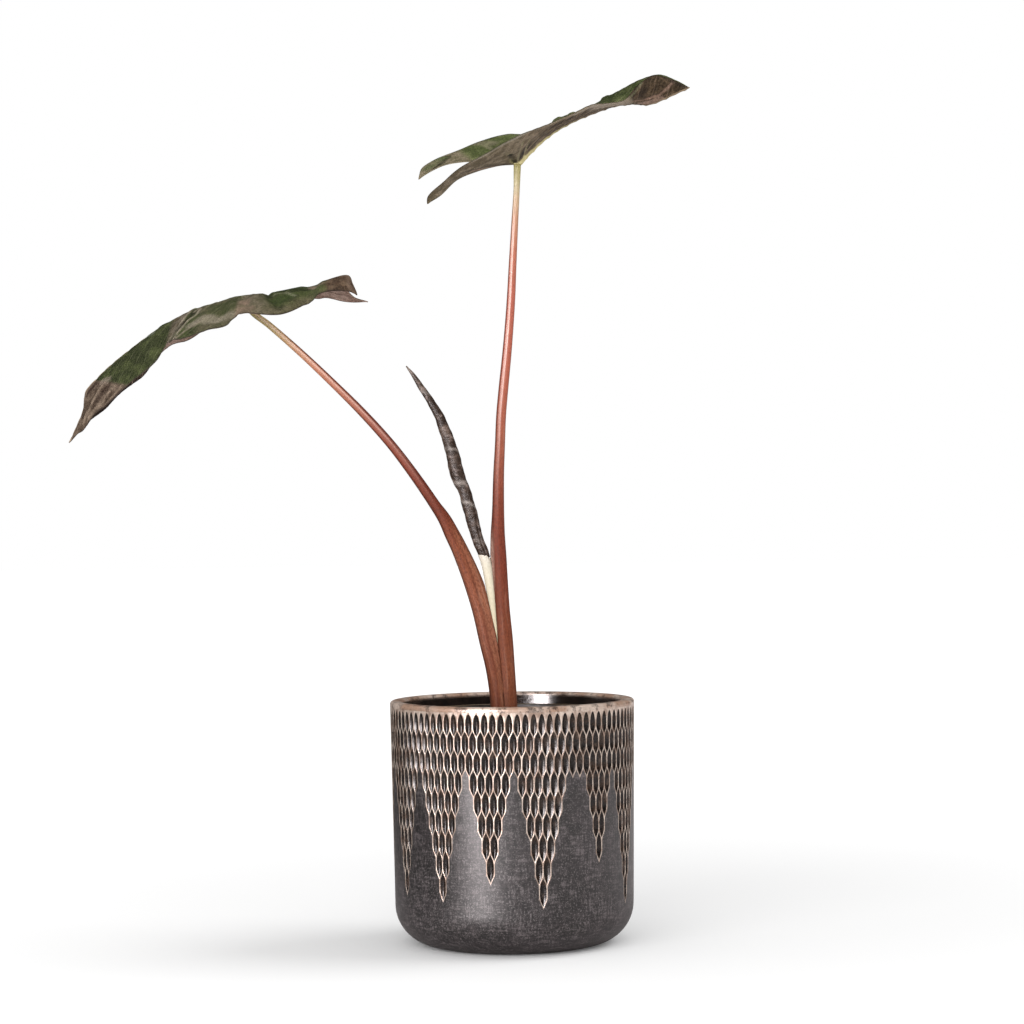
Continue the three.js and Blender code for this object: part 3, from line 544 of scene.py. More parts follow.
# Materials
class Look:
    """A material's nodes, with short calls for the kinds that are used here."""

    def __init__(self, name):
        self.material = bpy.data.materials.new(name)
        self.material.use_nodes = True
        self.tree = self.material.node_tree
        self.shader = self.tree.nodes["Principled BSDF"]
        self.spots = self.node("ShaderNodeTexCoord").outputs["Object"]

    def node(self, kind, **settings):
        made = self.tree.nodes.new(kind)
        for key, value in settings.items():
            setattr(made, key, value)
        return made

    def feed(self, socket, value):
        if isinstance(value, bpy.types.NodeSocket):
            self.tree.links.new(value, socket)
        elif isinstance(value, np.ndarray):
            socket.default_value = (*value, 1)
        else:
            socket.default_value = value

    def stored(self, name, kind="Fac"):
        return self.node("ShaderNodeAttribute", attribute_name=name).outputs[kind]

    def scaled(self, x, y, z, spots=None):
        made = self.node("ShaderNodeVectorMath", operation="MULTIPLY")
        self.feed(made.inputs[0], spots or self.spots)
        made.inputs[1].default_value = (x, y, z)
        return made.outputs[0]

    def noise(self, size, detail=3.0, rough=0.55, spots=None):
        made = self.node("ShaderNodeTexNoise")
        self.feed(made.inputs["Vector"], spots or self.spots)
        made.inputs["Scale"].default_value = 1 / (size * MM)
        made.inputs["Detail"].default_value = detail
        made.inputs["Roughness"].default_value = rough
        return made.outputs["Fac"]

    def cell_edges(self, size):
        made = self.node("ShaderNodeTexVoronoi", feature="DISTANCE_TO_EDGE")
        self.feed(made.inputs["Vector"], self.spots)
        made.inputs["Scale"].default_value = 1 / (size * MM)
        return made.outputs["Distance"]

    def math(self, operation, first, second):
        made = self.node("ShaderNodeMath", operation=operation)
        self.feed(made.inputs[0], first)
        self.feed(made.inputs[1], second)
        return made.outputs[0]

    def times(self, first, second):
        return self.math("MULTIPLY", first, second)

    def span(self, value, low, high, start=0.0, end=1.0):
        """Maps low..high to start..end, smooth and kept inside."""
        made = self.node("ShaderNodeMapRange", interpolation_type="SMOOTHSTEP")
        self.feed(made.inputs["Value"], value)
        made.inputs["From Min"].default_value = low
        made.inputs["From Max"].default_value = high
        made.inputs["To Min"].default_value = start
        made.inputs["To Max"].default_value = end
        return made.outputs["Result"]

    def mix(self, share, first, second, how="MIX"):
        made = self.node("ShaderNodeMix", data_type="RGBA", blend_type=how)
        self.feed(made.inputs[0], share)
        self.feed(made.inputs[6], first)
        self.feed(made.inputs[7], second)
        return made.outputs[2]

    def between(self, share, first, second):
        """Mixes two colours that are written as text."""
        return self.mix(share, colour(first), colour(second))

    def over(self, below, share, text):
        """Lays a colour over what is below it, by a share."""
        return self.mix(share, below, colour(text))

    def height(self):
        made = self.node("ShaderNodeSeparateXYZ")
        self.feed(made.inputs[0], self.spots)
        return made.outputs["Z"]

    def bump(self, height, distance, under=None):
        made = self.node("ShaderNodeBump")
        self.feed(made.inputs["Height"], height)
        made.inputs["Distance"].default_value = distance * MM
        made.inputs["Strength"].default_value = 1.0
        if under:
            self.feed(made.inputs["Normal"], under)
        return made.outputs["Normal"]

    def set(self, **values):
        for key, value in values.items():
            self.feed(self.shader.inputs[key.replace("_", " ")], value)
        return self.material


# Cover pot
def wall_radius(height):
    share = (height - POT_CORNER_RADIUS) / (POT_HEIGHT - POT_CORNER_RADIUS)
    return POT_LOW_RADIUS + (POT_RIM_RADIUS - POT_LOW_RADIUS) * max(0, share)


def row_turn(row):
    return ODD_ROW_TURN if row % 2 else EVEN_ROW_TURN


def row_pitch(row):
    return FIRST_ROW_PITCH + (row - 1) * PITCH_GROWTH


def row_height(row):
    return FIRST_ROW_HEIGHT - sum(row_pitch(above) for above in range(1, row))


LAST_TIP = row_height(ROWS) - row_pitch(ROWS) * (1 - STRAIGHT_SHARE / 2)


def is_carved(row, column):
    if row <= FULL_ROWS:
        return True
    for centre, tip in ICICLES:
        apart = abs(column - centre) % COLUMNS
        if min(apart, COLUMNS - apart) <= (tip - row) / 2 + 0.001:
            return True
    return False


class PotSkin:
    """Points and faces of the cover pot. Points at one place are one point."""

    def __init__(self):
        self.points = []
        self.faces = []
        self.index = {}
        self.ridge = []
        self.sunk = []

    def point(self, column, radius, height, ridge=FAR_FROM_RIDGE, sunk=0.0):
        column %= COLUMNS
        if COLUMNS - column < 1e-4:
            column = 0
        key = (round(column * 2000 + 0.123), round(radius * 500 + 0.123), round(height * 1000 + 0.123))
        if key in self.index:
            return self.index[key]
        turn = column / COLUMNS * math.tau
        self.index[key] = len(self.points)
        self.points.append((radius * math.sin(turn), -radius * math.cos(turn), height))
        self.ridge.append(ridge)
        self.sunk.append(sunk)
        return self.index[key]

    def mark(self, index, ridge):
        self.ridge[index] = max(self.ridge[index], ridge)

    def wall(self, column, height, sunk=0.0, ridge=FAR_FROM_RIDGE):
        """A point on the carved wall, whose rows lean."""
        down = (FIRST_ROW_TOP - height) / (FIRST_ROW_TOP - LAST_TIP)
        leaned = height - ROW_LEAN * down * math.sin(column / COLUMNS * math.tau)
        return self.point(column, wall_radius(height) - CARVE_DEPTH * sunk, leaned, ridge, sunk)

    def face(self, *corners):
        kept = [c for i, c in enumerate(corners) if c != corners[i - 1]]
        if len(kept) > 2:
            self.faces.append(tuple(kept))


def slant(low, high, rounded):
    """Places on the edge from a side's end to a tip: aside in columns, 0.5 to 0, and height."""
    found = []
    for step in range(SLANT_STEPS + 1):
        share = step / SLANT_STEPS
        if rounded:
            turn = share * math.pi / 2
            found.append((0.5 * math.cos(turn), low + (high - low) * math.sin(turn)))
        else:
            curve = 0.6 * share + 0.4 * share * share * (3 - 2 * share)
            found.append((0.5 * (1 - curve), low + (high - low) * share))
    return found


def lens_levels(row):
    """Levels of one lens from its bottom to its top: half width in columns, and height."""
    half = row_pitch(row) * STRAIGHT_SHARE / 2
    middle = row_height(row)
    if row == 1:
        top = FIRST_ROW_TOP
    else:
        top = row_height(row - 1) - row_pitch(row - 1) * STRAIGHT_SHARE / 2
    if row == ROWS:
        bottom = middle - row_pitch(row) * (1 - STRAIGHT_SHARE / 2)
    else:
        bottom = row_height(row + 1) + row_pitch(row + 1) * STRAIGHT_SHARE / 2
    down = slant(middle - half, bottom, False)[::-1]
    up = slant(middle + half, top, row == 1)
    straight = [
        (0.5, middle - half + 2 * half * step / STRAIGHT_STEPS) for step in range(1, STRAIGHT_STEPS)
    ]
    return down + straight + up


def cut_half(row, half, along):
    """Half width of a cut in columns, at a level where its cell has this half width. The level
    goes from -1 at the lower tip to 1 at the upper one."""
    widest = FIRST_CUT_HALF if row == 1 else CUT_HALF
    shape = 1 - abs(along) ** CUT_POINT
    if row == 1 and along > 0:
        shape = math.sqrt(shape)
    return max(0.0, min(widest * shape, half - HALF_RIDGE))


def lens(skin, row, column, levels):
    """One tall cell. Where it is carved, its middle is sunk like the cut of a round gouge."""
    carved = is_carved(row, column)
    width = math.tau * POT_RIM_RADIUS / COLUMNS
    low, high = levels[0][1], levels[-1][1]
    across = [-math.cos(step / CARVED_STEPS * math.pi) for step in range(CARVED_STEPS + 1)]
    rows = []
    for half, height in levels:
        left = skin.wall(column - half, height)
        right = skin.wall(column + half, height)
        line = [left]
        if carved:
            along = (height - low) / (high - low) * 2 - 1
            reach = cut_half(row, half, along)
            skin.mark(left, (half - reach) * width)
            skin.mark(right, (half - reach) * width)
            hollow = reach / CUT_HALF
            for share in across:
                sunk = hollow * (1 - abs(share) ** CUT_ROUNDING)
                beside = (abs(share) - 1) * reach * width
                line.append(skin.wall(column + share * reach, height, sunk, beside))
        else:
            inner = max(0.0, half - RIDGE_FADE)
            line.append(skin.wall(column - inner, height, 0, BESIDE_UNCUT_RIDGE))
            line.append(skin.wall(column + inner, height, 0, BESIDE_UNCUT_RIDGE))
        rows.append(line + [right])
    for below, above in zip(rows, rows[1:]):
        for i in range(len(below) - 1):
            skin.face(below[i], below[i + 1], above[i + 1], above[i])


def ring_at(skin, columns, radius, height, ridge=FAR_FROM_RIDGE):
    return [skin.point(column, radius, height, ridge) for column in columns]


def join_rings(skin, first, second):
    """Joins a ring to the next one, which may have half its sides."""
    if len(first) == len(second):
        for i in range(len(first)):
            skin.face(first[i - 1], first[i], second[i], second[i - 1])
        return
    for i in range(len(second)):
        left, middle, right = first[2 * i - 2], first[2 * i - 1], first[2 * i]
        skin.face(left, middle, second[i - 1])
        skin.face(middle, right, second[i], second[i - 1])


def close_ring(skin, ring, height):
    """Closes the last ring with a fan to a point on the axis."""
    centre = skin.point(0, 0, height)
    for i in range(len(ring)):
        skin.face(ring[i - 1], ring[i], centre)


def ring_series(skin, ring, columns, profile):
    """Goes on from a ring through rings of the profile. The mark "half" halves the number of sides."""
    for spot in profile:
        if spot == "half":
            columns = columns[::2]
            continue
        after = ring_at(skin, columns, *spot)
        join_rings(skin, ring, after)
        ring = after
    return ring


def carved_edge(skin, row, top):
    """Columns and points of the zigzag along the top of the first row, or the bottom of the last one."""
    columns, ring = [], []
    levels = lens_levels(row)
    part = levels[-(SLANT_STEPS + 1):] if top else levels[:SLANT_STEPS + 1][::-1]
    for n in range(COLUMNS):
        column = n + row_turn(row)
        left = [(-half, height) for half, height in part]
        right = [(half, height) for half, height in part[-2:0:-1]]
        for aside, height in left + right:
            columns.append(column + aside)
            ring.append(skin.wall(column + aside, height))
    return columns, ring


def make_pot():
    skin = PotSkin()
    for row in range(1, ROWS + 1):
        levels = lens_levels(row)
        for n in range(COLUMNS):
            lens(skin, row, n + row_turn(row), levels)

    columns, ring = carved_edge(skin, 1, True)
    inner = POT_RIM_RADIUS - POT_WALL
    flared = inner + INNER_FLARE
    low = POT_LOW_RADIUS - POT_WALL
    outer_lip = (POT_RIM_RADIUS - LIP_ROUNDING, POT_HEIGHT - LIP_ROUNDING)
    inner_lip = (flared + LIP_ROUNDING, POT_HEIGHT - LIP_ROUNDING)
    fillet = (low - POT_INNER_FILLET, POT_FLOOR + POT_INNER_FILLET)
    shares = (0, 0.25, 0.5, 0.75, 1)
    drop = FLARE_TOP - FLARE_BOTTOM
    flare = [(inner + INNER_FLARE * (1 - share) ** 1.5, FLARE_TOP - drop * share) for share in shares]
    fall = FLARE_BOTTOM - fillet[1] - 4
    slope = [(inner + (low - inner) * share, FLARE_BOTTOM - fall * share) for share in shares[1:]]
    end = ring_series(skin, ring, columns, [
        (wall_radius(LIP_FOOT), LIP_FOOT, -0.25),
        "half",
        *arc(outer_lip, LIP_ROUNDING, 0, 90, 5),
        (LIP_FLAT_OUTER, POT_HEIGHT + LIP_SWELL),
        (LIP_FLAT_INNER, POT_HEIGHT + LIP_SWELL),
        *arc(inner_lip, LIP_ROUNDING, 90, 180, 5),
        "half",
        *flare,
        *slope,
        *arc(fillet, POT_INNER_FILLET, 0, -90, 6),
        (low - FLOOR_RING_INSET, POT_FLOOR),
    ])
    close_ring(skin, end, POT_FLOOR)

    columns, ring = carved_edge(skin, ROWS, False)
    ring, columns = ring[::-1], columns[::-1]
    corner = (POT_LOW_RADIUS - POT_CORNER_RADIUS, POT_CORNER_RADIUS)
    end = ring_series(skin, ring, columns, [
        (POT_LOW_RADIUS, CORNER_TOP),
        "half",
        *arc(corner, POT_CORNER_RADIUS, 0, -90, 16),
        "half",
        (BASE_RING_RADIUS, 0),
    ])
    close_ring(skin, end, 0)

    pot = make_object("cover_pot", skin.points, skin.faces)
    store(pot, "ridge", skin.ridge)
    store(pot, "sunk", skin.sunk)
    spots = np.array(skin.points)
    inner_side = (np.hypot(spots[:, 0], spots[:, 1]) < flared + 0.7) & (spots[:, 2] > POT_FLOOR - 0.01)
    store(pot, "inside", inner_side * ease(spots[:, 2], 148.2, 146.5))
    return pot


def pot_glaze():
    look = Look("pot_glaze")
    height = look.height()
    ridge = look.stored("ridge")
    sunk = look.stored("sunk")
    inside = look.stored("inside")

    clouds = look.noise(22, 4, 0.55)
    mottle = look.noise(6, 6, 0.7)
    grain = look.noise(0.9, 3, 0.75)
    upright = look.noise(1.3, 4, 0.65, look.scaled(1, 1, 0.16))
    level = look.noise(1.4, 4, 0.65, look.scaled(0.16, 0.16, 1))
    brushed = look.times(look.math("ADD", upright, level), 0.5)
    scratch = look.noise(2.4, 2, 0.5, look.scaled(1, 1, 0.35))

    body = look.between(look.span(clouds, 0.38, 0.62), "151211", "252021")
    body = look.over(body, look.span(mottle, 0.45, 0.62, 0, 0.6), "393233")
    body = look.over(body, look.span(brushed, 0.42, 0.5, 0.7, 0), "080707")
    body = look.over(body, look.span(brushed, 0.52, 0.6, 0, 0.45), "6f6667")
    body = look.over(body, look.span(grain, 0.53, 0.65, 0, 0.36), "9a9090")
    hair = look.math("PINGPONG", look.times(scratch, 9), 0.5)
    hair = look.times(look.span(hair, 0.0, 0.03, 1, 0), look.span(mottle, 0.56, 0.64))
    body = look.over(body, look.times(hair, 0.5), "b8aeaa")

    lifted = look.times(look.math("SUBTRACT", mottle, 0.5), 34 * MM)
    near_rim = look.math("ADD", height, lifted)
    copper = look.between(look.span(clouds, 0.4, 0.6), "b8957f", "d8c3b4")
    rim = look.span(near_rim, 134 * MM, 148 * MM, 0, 0.95)
    body = look.mix(rim, body, copper)
    stain = look.times(look.span(mottle, 0.5, 0.58), look.span(height, 143 * MM, 146 * MM))
    stain = look.times(stain, look.span(grain, 0.4, 0.6, 0.9, 0.4))
    body = look.over(body, stain, "3a2c26")

    hollow = look.between(look.span(grain, 0.42, 0.62), "0d0a09", "201a18")
    hollow = look.over(hollow, look.span(mottle, 0.48, 0.62, 0, 0.7), "38291f")
    hollow = look.over(hollow, look.span(scratch, 0.57, 0.68, 0, 0.3), "6b5a50")
    cut_share = look.span(sunk, 0.0, 0.12)
    surface = look.mix(cut_share, body, hollow)
    worn = look.between(look.span(mottle, 0.4, 0.6), "dccabc", "a28a7b")
    patches = look.span(look.noise(3.5, 4), 0.3, 0.52, 0.7, 1)
    worn_share = look.times(look.span(ridge, -0.2, -0.02), patches)
    surface = look.mix(worn_share, surface, worn)
    deep = look.between(look.span(mottle, 0.35, 0.65), "0c0705", "1e140f")
    surface = look.mix(inside, surface, deep)

    outside = look.math("SUBTRACT", 1.0, inside)
    metal = look.math("MAXIMUM", worn_share, look.times(rim, 0.7))
    metal = look.times(look.times(metal, 0.5), outside)
    rough = look.span(grain, 0.3, 0.7, 0.29, 0.44)
    rough = look.math("SUBTRACT", rough, look.times(inside, 0.2))
    rough = look.math("SUBTRACT", rough, look.times(cut_share, 0.1))
    normal = look.bump(look.times(brushed, outside), 0.05)
    normal = look.bump(look.times(grain, outside), 0.02, under=normal)
    normal = look.bump(look.times(scratch, cut_share), 0.03, under=normal)
    tint = look.between(look.times(cut_share, 0.55), "ffffff", "2a1f1a")
    return look.set(
        Base_Color=surface, Metallic=metal, Roughness=rough, IOR=1.72, Specular_Tint=tint, Normal=normal,
    )


# Growing pot
def make_nursery_pot():
    rim, bead = NURSERY_RIM_RADIUS, NURSERY_BEAD
    outside = [
        (0, NURSERY_BOTTOM),
        (NURSERY_BASE_RADIUS - 1.5, NURSERY_BOTTOM),
        (NURSERY_BASE_RADIUS - 0.4, NURSERY_BOTTOM + 0.4),
        (NURSERY_BASE_RADIUS, NURSERY_BOTTOM + 1.5),
        (NURSERY_TOP_RADIUS, COLLAR_HEIGHT),
        (rim - 0.3, COLLAR_HEIGHT + 0.6),
        (rim, COLLAR_HEIGHT + NURSERY_WALL),
    ]
    top = arc((rim - bead, NURSERY_RIM_HEIGHT - bead), bead, 0, 180, 8)
    inside = [
        (NURSERY_TOP_RADIUS - NURSERY_WALL + 0.3, COLLAR_HEIGHT + 0.5),
        (NURSERY_TOP_RADIUS - NURSERY_WALL, COLLAR_HEIGHT - 0.5),
        (NURSERY_BASE_RADIUS - NURSERY_WALL, NURSERY_FLOOR + 1),
        (NURSERY_BASE_RADIUS - NURSERY_WALL - 1, NURSERY_FLOOR),
        (0, NURSERY_FLOOR),
    ]
    pot = make_object("growing_pot", *turned(outside + top + inside, NURSERY_SIDES))
    holes = []
    for i in range(DRAIN_HOLES):
        turn = (i + 0.5) / DRAIN_HOLES * math.tau
        ends = [(0, NURSERY_BOTTOM - 2), (DRAIN_RADIUS, NURSERY_BOTTOM - 2),
                (DRAIN_RADIUS, NURSERY_FLOOR + 2), (0, NURSERY_FLOOR + 2)]
        points, faces = turned(ends, DRAIN_SIDES)
        aside = (DRAIN_CIRCLE * math.cos(turn), DRAIN_CIRCLE * math.sin(turn), 0)
        holes.append(make_object(f"hole_{i}", np.array(points) + aside, faces))
    return cut(pot, *holes)


def nursery_plastic():
    look = Look("nursery_plastic")
    dust = look.noise(3, 5, 0.65)
    body = look.between(look.span(dust, 0.45, 0.75, 0, 0.5), "14130f", "3a342b")
    # Painted highlight: a pale line along the top of the black rim, where light catches its edge.
    rim = look.span(look.height(), (NURSERY_RIM_HEIGHT - 0.7) * MM, NURSERY_RIM_HEIGHT * MM, 0, 0.55)
    body = look.over(body, rim, "7a6650")
    rough = look.span(dust, 0.3, 0.7, 0.36, 0.6)
    return look.set(Base_Color=body, Roughness=rough, Normal=look.bump(look.noise(0.5), 0.05))


# Soil
def nursery_inner_radius(height):
    share = (height - NURSERY_BOTTOM) / (COLLAR_HEIGHT - NURSERY_BOTTOM)
    return NURSERY_BASE_RADIUS + (NURSERY_TOP_RADIUS - NURSERY_BASE_RADIUS) * share - NURSERY_WALL


def soil_top(x, y):
    fall = np.hypot(x, y) / nursery_inner_radius(SOIL_HEIGHT)
    lumps = np.sin(x * 0.31 + 1) * np.cos(y * 0.27) + np.sin(x * 0.13 - y * 0.19)
    return SOIL_HEIGHT - SOIL_DROP * fall * fall + SOIL_LUMP * lumps * fall


def crumb(draw, size, flat):
    """One irregular crumb: a small ball with pushed points, squeezed and turned at random."""
    ball = bmesh.new()
    bmesh.ops.create_icosphere(ball, subdivisions=2, radius=1)
    shift = Vector([draw.uniform(-50, 50) for _ in range(3)])
    points = []
    for vertex in ball.verts:
        push = 1 + 0.45 * noise.noise(vertex.co * 1.3 + shift)
        points.append(vertex.co * push)
    faces = [[v.index for v in face.verts] for face in ball.faces]
    ball.free()
    squeeze = Matrix.Diagonal((size * draw.uniform(0.8, 1.3), size * draw.uniform(0.5, 0.9), size * flat))
    turn = Matrix.Rotation(draw.uniform(-0.5, 0.5), 3, "X") @ Matrix.Rotation(draw.uniform(0, 6.28), 3, "Z")
    return [turn @ squeeze @ point for point in points], faces


def soil_top_rings(wall, hole):
    """Rings of the bumpy top, from the hole's edge out to the wall."""
    points = []
    for ring in range(SOIL_RINGS + 1):
        for i in range(SOIL_SIDES):
            turn = i / SOIL_SIDES * math.tau
            right, back = math.cos(turn), math.sin(turn)
            reach = -CORM_CENTRE * right + math.sqrt(wall ** 2 - (CORM_CENTRE * back) ** 2)
            radius = hole + (reach - hole) * ring / SOIL_RINGS
            x, y = CORM_CENTRE + radius * right, radius * back
            rough = 0 if ring in (0, SOIL_RINGS) else 1
            bumps = noise.fractal(Vector((x, y, 3)) / 4.5, 0.9, 2.2, 5) * 1.1 * rough
            points.append((x, y, float(soil_top(x, y)) - 0.3 + bumps))
    return points


def soil_ball(wall, hole):
    """Points and faces of the closed ball, with a plain hole for the corm."""
    bottom = NURSERY_FLOOR + GAP
    points = soil_top_rings(wall, hole)
    faces = []
    for ring in range(SOIL_RINGS):
        for i in range(SOIL_SIDES):
            a, b = ring * SOIL_SIDES + i, ring * SOIL_SIDES + (i + 1) % SOIL_SIDES
            faces.append((a, a + SOIL_SIDES, b + SOIL_SIDES, b))
    top_count = len(points)
    outer = SOIL_RINGS * SOIL_SIDES
    low_wall = nursery_inner_radius(bottom) - 2 * GAP
    for i in range(SOIL_SIDES):
        x, y, _ = points[outer + i]
        points.append((x * low_wall / wall, y * low_wall / wall, bottom))
    points += [(points[i][0], points[i][1], bottom) for i in range(SOIL_SIDES)]
    floor_ring = len(points)
    points += [(points[i][0], points[i][1], CORM_BOTTOM - GAP) for i in range(SOIL_SIDES)]
    for i in range(SOIL_SIDES):
        j = (i + 1) % SOIL_SIDES
        low, mid = top_count, top_count + SOIL_SIDES
        faces.append((outer + i, low + i, low + j, outer + j))
        faces.append((low + i, mid + i, mid + j, low + j))
        faces.append((j, floor_ring + j, floor_ring + i, i))
    faces.append(tuple(top_count + SOIL_SIDES + i for i in range(SOIL_SIDES)))
    faces.append(tuple(floor_ring + i for i in range(SOIL_SIDES))[::-1])
    return points, faces


def add_crumbs(points, faces, tint, wall, hole):
    """Strews crumbs over the top. A few of them are pale."""
    draw = random.Random(11)
    for _ in range(CRUMBS):
        radius = math.sqrt(draw.uniform((hole + 2.5) ** 2, (wall - 3) ** 2))
        turn = draw.uniform(0, math.tau)
        x, y = radius * math.cos(turn), radius * math.sin(turn)
        pale = draw.random() < PALE_CRUMB_SHARE
        size = draw.uniform(0.9, 1.7) if pale else draw.uniform(0.9, 3.2)
        if math.hypot(x - CORM_CENTRE, y) < hole + size + 1 or radius + size * 1.5 > wall:
            continue
        shape, sides = crumb(draw, size, 0.7 if pale else 0.42)
        start = len(points)
        centre = Vector((x, y, float(soil_top(x, y)) + size * 0.1))
        points += [tuple(centre + spot) for spot in shape]
        faces += [tuple(start + k for k in side) for side in sides]
        tint += [1.0 if pale else draw.uniform(0, 0.8)] * len(shape)


def make_soil():
    wall = nursery_inner_radius(SOIL_HEIGHT - SOIL_DROP) - 2 * GAP
    hole = CORM_RADIUS + GAP
    points, faces = soil_ball(wall, hole)
    tint = [0.5] * len(points)
    add_crumbs(points, faces, tint, wall, hole)
    soil = make_object("potting_mix", points, faces)
    store(soil, "tint", tint)
    return soil


def potting_mix():
    look = Look("potting_mix")
    tint = look.stored("tint")
    fine = look.noise(1.4, 6, 0.7)
    body = look.between(look.span(fine, 0.35, 0.7), "1c130d", "4a3526")
    body = look.over(body, look.span(tint, 0.5, 0.8, 0, 0.7), "6b4c35")
    body = look.over(body, look.span(tint, 0.88, 0.96), "cfc8ba")
    normal = look.bump(look.noise(0.7, 5, 0.7), 0.5)
    return look.set(Base_Color=body, Roughness=0.92, Normal=normal)


def make_corm():
    length = SOIL_HEIGHT - CORM_BOTTOM
    outline = [
        (0, 0), (0.5, 0.02), (0.83, 0.16), (0.97, 0.36), (0.9, 0.4), (1, 0.52), (0.92, 0.57),
        (0.99, 0.7), (0.9, 0.76), (0.95, 0.88), (CORM_CROWN / CORM_RADIUS, 0.985), (0.8, 1), (0, 1),
    ]
    middle = rail([(r * CORM_RADIUS, 0, CORM_BOTTOM + z * length) for r, z in outline[1:-1]], 4)
    profile = [(0, CORM_BOTTOM)] + [(spot[0], spot[2]) for spot in middle] + [(0, SOIL_HEIGHT)]
    points, faces = turned(profile, CORM_SIDES)
    points = np.array(points)
    knobs = field(points, 3, 4) * 0.25
    reach = np.hypot(points[:, 0], points[:, 1])
    shrink = 1 + np.where(reach > 1, (knobs - 0.25) / np.maximum(reach, 1), 0)
    points[:, :2] *= shrink[:, None]
    return make_object("rootstock", points + (CORM_CENTRE, 0, 0), faces)


def corm_skin():
    look = Look("corm_skin")
    fibres = look.noise(1.2, 5, 0.6, look.scaled(1, 1, 0.15))
    body = look.between(look.span(fibres, 0.35, 0.65), "3a271b", "80604a")
    return look.set(Base_Color=body, Roughness=0.85, Normal=look.bump(fibres, 0.3))


# Stalks and the rolled blade
def loft(name, stations, sides=STALK_SIDES, steps=STALK_STEPS, grow=0.0, shape=None):
    """A closed tube through stations. The shape call may push a point of the section outwards."""
    path = rail([station[:3] for station in stations], steps)
    tangent = unit(np.gradient(path, axis=0))
    across = unit(np.cross((0, 1, 0), tangent))
    depth = np.cross(tangent, across)
    spots = np.arange(len(path)) / steps
    reaches = [(s[3], s[4] if len(s) > 4 else s[3], s[5] if len(s) > 5 else s[3]) for s in stations]
    reaches = [np.interp(spots, range(len(stations)), column) for column in np.array(reaches).T]
    window = np.ones(7) / 7
    reaches = [np.convolve(np.pad(column, 3, mode="edge"), window, mode="valid") for column in reaches]
    path[0] -= tangent[0] * grow
    path[-1] += tangent[-1] * grow
    points = []
    turns = np.arange(sides) / sides * math.tau
    side = np.cos(turns)
    for i in range(len(path)):
        left, right, deep = (column[i] + grow for column in reaches)
        reach = np.where(side < 0, left, right)
        wing = np.maximum(0, reach / deep - 1) * np.abs(side)
        x = reach * side
        y = deep * np.sin(turns) * (1 - WING_THINNING * wing)
        if shape:
            push = 1 + shape(turns, path[i], i / (len(path) - 1)) / deep
            x, y = x * push, y * push
        points.append(path[i] + np.outer(x, across[i]) + np.outer(y, depth[i]))
    points = np.vstack(points + [path[:1], path[-1:]])
    faces = []
    for i in range(len(path) - 1):
        for k in range(sides):
            a, b = i * sides + k, i * sides + (k + 1) % sides
            faces.append((a, b, b + sides, a + sides))
    last = (len(path) - 1) * sides
    for k in range(sides):
        beside = (k + 1) % sides
        faces.append((len(points) - 2, beside, k))
        faces.append((len(points) - 1, last + k, last + beside))
    return make_object(name, points, faces)


def dent(turns, at, width):
    """1 in the middle of a groove at the given turn and 0 beside it."""
    apart = np.abs((turns - at + math.pi) % math.tau - math.pi)
    return np.exp(-(apart / width) ** 2)


def left_shape(turns, spot, along):
    """The sheath's edge on the leaning stalk makes a groove down its front."""
    low = float(ease(spot[2], 262, 240))
    return -0.4 * low * dent(turns, -1.05, 0.2) + 0.15 * low * dent(turns, -0.7, 0.35)


def right_shape(turns, spot, along):
    """A narrow groove low on the upright stalk, and a wider one above it."""
    low = float(ease(spot[2], 250, 230))
    high = float(ease(spot[2], 250, 270))
    return -0.35 * low * dent(turns, -2.3, 0.14) - 0.2 * high * dent(turns, -2.0, 0.22)


def rolled_shape(turns, spot, along):
    """Overlapping rolls with a seam that winds up the blade, and cross wrinkles."""
    seam = -1.35 + 2.4 * along
    inner = seam + 2.1
    folds = 0.24 * math.sin(spot[2] * 0.53) + 0.14 * math.sin(spot[2] * 1.17 + 1)
    strength = 1 - 0.7 * along
    crease = -0.9 * dent(turns, seam, 0.12) + 0.35 * dent(turns, seam - 0.35, 0.25)
    return strength * (crease - 0.5 * dent(turns, inner, 0.15) + folds * np.cos(turns - seam) * 0.8)


def blade_cutter(blade):
    """The blade a little thicker and in fewer steps, for trimming its stalk."""
    return make_blade("cutter", blade, 0.15, None, CUTTER_RIB_STEPS, CUTTER_SHARE_STEPS)[0]


def below_crown():
    """A block that cuts the stalks flat where they stand on the corm."""
    top = SOIL_HEIGHT + GAP
    corners = [(x, y, z) for x in (-50, 40) for y in (-45, 45) for z in (100, top)]
    faces = [(0, 1, 3, 2), (4, 6, 7, 5), (0, 4, 5, 1), (2, 3, 7, 6), (0, 2, 6, 4), (1, 5, 7, 3)]
    return make_object("below_crown", corners, faces)


def nearest_steps(points, stations):
    """A fine path through the stations, and the number of the path's place nearest to each point."""
    path = rail([station[:3] for station in stations], PATH_STEPS)
    return path, np.linalg.norm(points[:, None] - path[None], axis=2).argmin(1)


def laid_along(points, path, best):
    """Coordinates that follow a bent stalk: two across it and one along it."""
    ways = unit(np.gradient(path, axis=0))
    lengths = np.concatenate([[0], np.cumsum(np.linalg.norm(np.diff(path, axis=0), axis=1))])
    apart, ahead = points - path[best], ways[best]
    side = unit(np.cross((0, 1, 0), ahead))
    front = np.cross(side, ahead)
    return np.stack([
        (apart * side).sum(axis=1), (apart * front).sum(axis=1), lengths[best] + (apart * ahead).sum(axis=1),
    ], axis=1)


